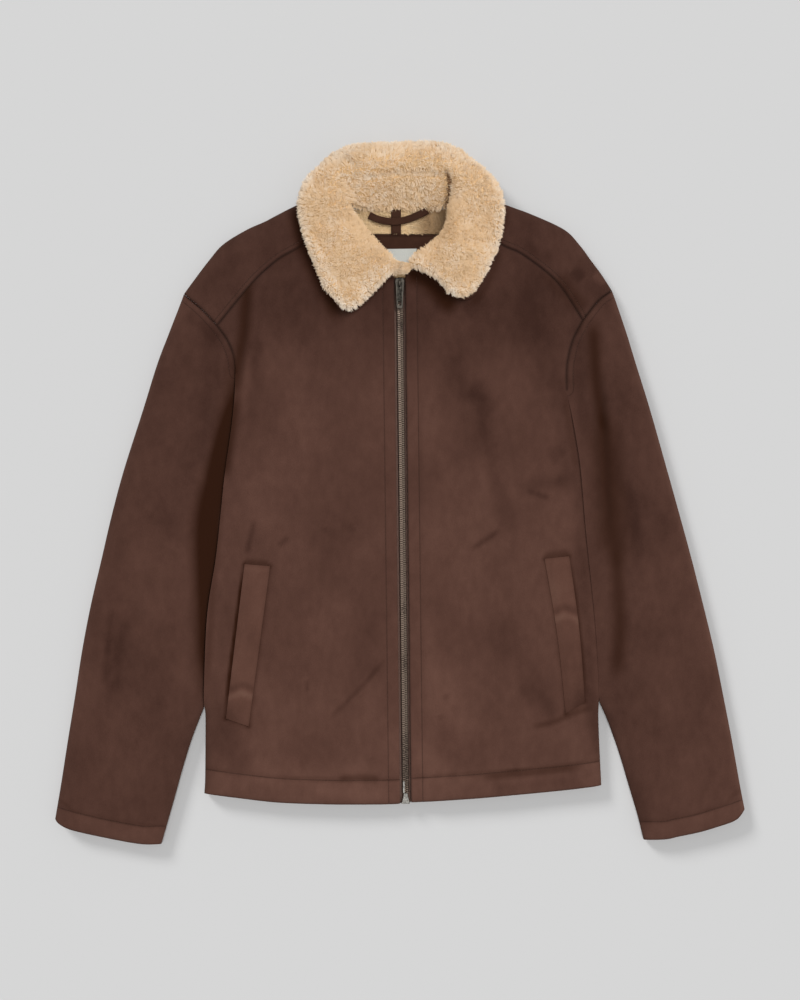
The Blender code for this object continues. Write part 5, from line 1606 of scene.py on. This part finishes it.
def build_pull_tab():
    """Pull tab: a flat bar with an eye round the bail and a hole near its end. Its plan is a grid whose cells
    are left out at eye and hole; top, bottom and walls along the open edges close it; a bevel rounds it."""
    x, y, z = TAB_HINGE
    across = np.array([-4.5, -2.5, -1.5, 1.5, 2.5, 4.5])
    down = np.array([-1.0, 1.0, 6.5, 8.5, 14.0, 21.0, 25.5, 27.6, 29.0])
    taper = np.array([0.86, 1.0, 1.0, 0.98, 0.90, 0.84, 0.80, 0.76, 0.52])
    kept = np.ones((8, 5), bool)
    kept[1, 1:4] = False
    kept[5, 2] = False
    plan_x = across[None] * taper[:, None]
    plan_x[0:3, 1:5:3] = across[1:5:3]
    plan_x[1:3, 2:4] = across[2:4]
    plan_x[5:7, 2:4] = across[2:4]
    top = np.dstack([x + plan_x, np.broadcast_to(y - down[:, None], plan_x.shape),
                     np.full(plan_x.shape, z + 0.8)])
    bottom = top - (0, 0, 1.6)
    at = np.arange(54).reshape(9, 6)
    r, c = np.nonzero(kept)
    upper = np.column_stack([at[r, c], at[r + 1, c], at[r + 1, c + 1], at[r, c + 1]])
    faces = [upper, upper[:, ::-1] + 54]
    framed = np.pad(kept, 1)
    for dr, dc, first, second in ((-1, 0, (0, 1), (0, 0)), (1, 0, (1, 0), (1, 1)), (0, -1, (0, 0), (1, 0)),
                                  (0, 1, (1, 1), (0, 1))):
        edge = kept & ~framed[1 + dr:9 + dr, 1 + dc:6 + dc]
        r, c = np.nonzero(edge)
        a, b = at[r + first[0], c + first[1]], at[r + second[0], c + second[1]]
        faces.append(np.column_stack([b, a, a + 54, b + 54]))
    points = np.vstack([top.reshape(-1, 3), bottom.reshape(-1, 3)])
    used = np.unique(np.vstack(faces))
    index = np.full(108, -1)
    index[used] = np.arange(len(used))
    # Painted glints with rubbed plating: the tab's outer edges and its end are made lighter.
    rub_and_glint = np.maximum(np.abs(points[used, 0] - x) > 3.0, points[used, 1] < y - 27)
    made = add_piece("zip_pull_tab_cast", points[used], index[np.vstack(faces)], [material("slider")],
                     "zip_pull_tab", "zip_metal", body="pull_tab", floats={"rub_and_glint": rub_and_glint}, sharp_from=35)
    bevel = made.modifiers.new("rounded edges", "BEVEL")
    bevel.width, bevel.segments, bevel.limit_method, bevel.angle_limit = 0.35 * MM, 2, "ANGLE", math.radians(40)


# ------------------------------------------------------------------ stage

def strands_let_through():
    """The fine strands that cast no shadow from the garment's dome, since light passes between pale fibres."""
    name = "strands let the dome through"
    return bpy.data.collections.get(name) or bpy.data.collections.new(name)


def build_stage(look):
    """Floor, soft light and the camera, which looks straight down from above."""
    reach = 8.0 / MM
    corners = np.array([(-reach, -reach, 0), (reach, -reach, 0), (reach, reach, 0), (-reach, reach, 0)], float)
    mesh = make_mesh("floor", corners + PLAN_MIDDLE, [np.array([[0, 1, 2, 3]])])
    mesh.materials.append(seamless_paper("Background paper, matt", look.paper))
    floor = bpy.data.objects.new("floor", mesh)
    bpy.context.scene.collection.objects.link(floor)
    scene = bpy.context.scene
    scene.view_settings.view_transform = "Standard"
    world = bpy.data.worlds.new("soft room")
    world.use_nodes = True
    world.node_tree.nodes["Background"].inputs["Color"].default_value = (1, 1, 1, 1)
    world.node_tree.nodes["Background"].inputs["Strength"].default_value = look.sky_strength
    scene.world = world
    for name, lean, turn, strength, angle, own in (
            ("key light", look.key_lean, look.key_turn, look.key_strength, 24, False),
            ("dome light", 0, 0, look.dome_strength, 130, False),
            ("floor key light", look.floor_lean, look.floor_turn, look.floor_strength, 18, True),
            ("floor dome light", 0, 0, look.floor_dome_strength, 16, True)):
        data = bpy.data.lights.new(name, "SUN")
        data.energy, data.angle = strength, math.radians(angle)
        lamp = bpy.data.objects.new(name, data)
        lamp.rotation_euler = (math.radians(lean), 0, math.radians(turn))
        bpy.context.scene.collection.objects.link(lamp)
        lit = bpy.data.collections.new(f"{name} receivers")
        lit.objects.link(floor)
        lamp.light_linking.receiver_collection = lit
        lit.collection_objects[0].light_linking.link_state = "INCLUDE" if own else "EXCLUDE"
        if name == "dome light":
            lamp.light_linking.blocker_collection = strands_let_through()
    data = bpy.data.cameras.new("camera")
    data.lens, data.sensor_width, data.clip_start, data.clip_end = 85.0, 36.0, 0.05, 50.0
    camera = bpy.data.objects.new("camera", data)
    camera.location = (0.0004, -0.0086, look.camera_height)
    scene.collection.objects.link(camera)
    scene.camera = camera

# ------------------------------------------------------------------ what a user may change

def colour(name, description, code):
    """A colour that a user may change, its default given as an sRGB hex value."""
    return FloatVectorProperty(name=name, description=description, default=linear(code), size=3, min=0, max=1,
                               subtype="COLOR")


class JacketColours(bpy.types.PropertyGroup):
    """Colours of the suede and of the collar's pile."""
    # The suede's colour runs from dark through the middle tone to light by its nap, by random clouds, and by
    # painted shade and painted highlight.
    suede_dark: colour("Suede, dark", "Where the nap lies away from the light", "#37211a")
    suede: colour("Suede", "The suede's middle tone", "#52372e")
    suede_light: colour("Suede, light", "Where the nap lies towards the light", "#694a3f")
    pile_root: colour("Pile, root", "The pile near its ground", "#cba67a")
    pile: colour("Pile", "The pile's middle tone", "#e1c099")
    pile_tip: colour("Pile, tip", "The pile's tips", "#f6ecde")


class JacketCloth(bpy.types.PropertyGroup):
    """Sizes of the cloth panels and their stitching."""
    grid: FloatProperty(name="Grid", description="Spacing of the points over fronts, yokes and top sleeves",
                        default=3.0 * MM, min=1.5 * MM, max=12 * MM, subtype="DISTANCE", unit="LENGTH")
    under_grid: FloatProperty(name="Under grid", default=6.5 * MM, min=3 * MM, max=20 * MM,
                              description="Spacing of the points over back and under sleeves",
                              subtype="DISTANCE", unit="LENGTH")
    stitch_pitch: FloatProperty(name="Stitch pitch", description="From one stitch to the next",
                                default=3.5 * MM, min=2 * MM, max=8 * MM, subtype="DISTANCE", unit="LENGTH")
    stitch_length: FloatProperty(name="Stitch length", description="Length of the thread that shows",
                                 default=2.9 * MM, min=1 * MM, max=7 * MM, subtype="DISTANCE", unit="LENGTH")


class JacketPile(bpy.types.PropertyGroup):
    """Sizes of the teddy pile."""
    strands: IntProperty(name="Strands", description="Strands in each of the collar's three stretches of pile",
                         default=12000, min=500, max=12000)
    neck_strands: IntProperty(name="Neck strands", description="Strands of the neck's lining", default=1800,
                              min=100, max=5000)
    pile_length: FloatProperty(name="Pile length", description="Length of a strand from the knitted ground",
                               default=5.6 * MM, min=2 * MM, max=20 * MM, subtype="DISTANCE", unit="LENGTH")
    strand_radius: FloatProperty(name="Strand radius", description="Half the width of a strand",
                                 default=0.47 * MM, min=0.1 * MM, max=1.5 * MM, subtype="DISTANCE",
                                 unit="LENGTH")


class JacketZip(bpy.types.PropertyGroup):
    """Sizes of the zip."""
    pitch: FloatProperty(name="Tooth pitch", description="From one tooth to the next on one side",
                         default=2.1 * MM, min=1 * MM, max=5 * MM, subtype="DISTANCE", unit="LENGTH")


class JacketStage(bpy.types.PropertyGroup):
    """Paper, light and camera."""
    paper: colour("Paper", "Colour of the background paper", "#cdcdcd")
    sky_strength: FloatProperty(name="Sky strength", description="Even light from all round", default=0.30,
                                min=0, max=5)
    dome_strength: FloatProperty(name="Dome strength", description="Wide soft light on the garment from above",
                                 default=1.25, min=0, max=20)
    key_strength: FloatProperty(name="Key strength", description="Strength of the soft key light", default=1.50,
                                min=0, max=20)
    key_lean: FloatProperty(name="Key lean", description="How far the key light leans from above, in degrees",
                            default=33.0, min=0, max=85)
    key_turn: FloatProperty(name="Key turn", description="Where the garment's key light comes from, in degrees",
                            default=140.0)
    floor_turn: FloatProperty(name="Floor light turn", default=222.0,
                              description="Where the floor's key light comes from, in degrees")
    floor_lean: FloatProperty(name="Floor light lean", default=60.0, min=0, max=85,
                              description="How far the floor's key light leans, in degrees")
    floor_strength: FloatProperty(name="Floor light strength", description="Strength of the floor's key light",
                                  default=1.66, min=0, max=20)
    floor_dome_strength: FloatProperty(name="Floor dome strength", description="Wide soft light on the floor",
                                       default=1.689, min=0, max=20)
    camera_height: FloatProperty(name="Camera height", description="Height of the camera above the floor",
                                 default=2.725, min=0.5, max=20, subtype="DISTANCE", unit="LENGTH")


# ------------------------------------------------------------------ operators

class JACKET_OT_stage(bpy.types.Operator):
    """Make the floor, the soft light and the camera"""
    bl_idname, bl_label = "jacket.stage", "Stage"

    def execute(self, context):
        build_stage(context.scene.jacket_stage)
        return {"FINISHED"}


class JACKET_OT_back(bpy.types.Operator):
    """Make the back panel"""
    bl_idname, bl_label = "jacket.back", "Back"

    def execute(self, context):
        build_back(context.scene.jacket_cloth.under_grid / MM)
        return {"FINISHED"}


class JACKET_OT_fronts(bpy.types.Operator):
    """Make both fronts and yokes"""
    bl_idname, bl_label = "jacket.fronts", "Fronts and yokes"

    def execute(self, context):
        build_fronts(context.scene.jacket_cloth.grid / MM * (1))
        return {"FINISHED"}


class JACKET_OT_sleeves(bpy.types.Operator):
    """Make both sleeves, top and under"""
    bl_idname, bl_label = "jacket.sleeves", "Sleeves"

    def execute(self, context):
        cloth = context.scene.jacket_cloth
        build_sleeves(cloth.grid / MM * (1), cloth.under_grid / MM)
        return {"FINISHED"}


class JACKET_OT_welts(bpy.types.Operator):
    """Make the two slanted pocket welts"""
    bl_idname, bl_label = "jacket.welts", "Pocket welts"

    def execute(self, context):
        build_welts()
        return {"FINISHED"}


class JACKET_OT_stitching(bpy.types.Operator):
    """Make the threads of the topstitching"""
    bl_idname, bl_label = "jacket.stitching", "Topstitching"

    def execute(self, context):
        cloth = context.scene.jacket_cloth
        build_stitches(cloth.stitch_pitch / MM, cloth.stitch_length / MM)
        return {"FINISHED"}


class JACKET_OT_collar(bpy.types.Operator):
    """Make the teddy collar and the under collar"""
    bl_idname, bl_label = "jacket.collar", "Collar"

    def execute(self, context):
        pile = context.scene.jacket_pile
        build_collar(pile.strands // (1), pile.pile_length / MM,
                     pile.strand_radius / MM * (1))
        build_under_collars()
        return {"FINISHED"}


class JACKET_OT_neck(bpy.types.Operator):
    """Make the neck's lining, facing, tape, bare label and hanger loop"""
    bl_idname, bl_label = "jacket.neck", "Neck"

    def execute(self, context):
        pile = context.scene.jacket_pile
        build_neck(pile.neck_strands // (1), 0.9 * pile.strand_radius / MM)
        return {"FINISHED"}


class JACKET_OT_zip(bpy.types.Operator):
    """Make the zip's tapes, teeth, box and pin"""
    bl_idname, bl_label = "jacket.zip", "Zip"

    def execute(self, context):
        build_zip(context.scene.jacket_zip.pitch / MM)
        return {"FINISHED"}


class JACKET_OT_slider(bpy.types.Operator):
    """Make the zip's slider"""
    bl_idname, bl_label = "jacket.slider", "Slider"

    def execute(self, context):
        build_slider()
        return {"FINISHED"}


class JACKET_OT_pull_tab(bpy.types.Operator):
    """Make the slider's pull tab"""
    bl_idname, bl_label = "jacket.pull_tab", "Pull tab"

    def execute(self, context):
        build_pull_tab()
        return {"FINISHED"}


STEPS = ("stage", "back", "fronts", "sleeves", "welts", "stitching", "collar", "neck", "zip", "slider",
         "pull_tab")
GROUPS = (("jacket_colours", JacketColours), ("jacket_cloth", JacketCloth), ("jacket_pile", JacketPile),
          ("jacket_zip", JacketZip), ("jacket_stage", JacketStage))


class JACKET_PT_panel(bpy.types.Panel):
    """Lists the jacket's sizes and steps"""
    bl_idname, bl_label = "JACKET_PT_panel", "Zipped Jacket"
    bl_space_type, bl_region_type, bl_category = "VIEW_3D", "UI", "Jacket"

    def draw(self, context):
        for key, group in GROUPS:
            box = self.layout.box()
            for field in group.__annotations__:
                box.prop(getattr(context.scene, key), field)
        for step in STEPS:
            self.layout.operator(f"jacket.{step}")


OPERATORS = [JACKET_OT_stage, JACKET_OT_back, JACKET_OT_fronts, JACKET_OT_sleeves, JACKET_OT_welts,
             JACKET_OT_stitching, JACKET_OT_collar, JACKET_OT_neck, JACKET_OT_zip, JACKET_OT_slider,
             JACKET_OT_pull_tab]
CLASSES = [group for _, group in GROUPS] + OPERATORS + [JACKET_PT_panel]


def register():
    for made in CLASSES:
        bpy.utils.register_class(made)
    for key, group in GROUPS:
        setattr(bpy.types.Scene, key, PointerProperty(type=group))


def unregister():
    for key, _ in GROUPS:
        delattr(bpy.types.Scene, key)
    for made in reversed(CLASSES):
        bpy.utils.unregister_class(made)


def main():
    register()
    for step in STEPS:
        getattr(bpy.ops.jacket, step)()


if __name__ == "__main__":
    main()
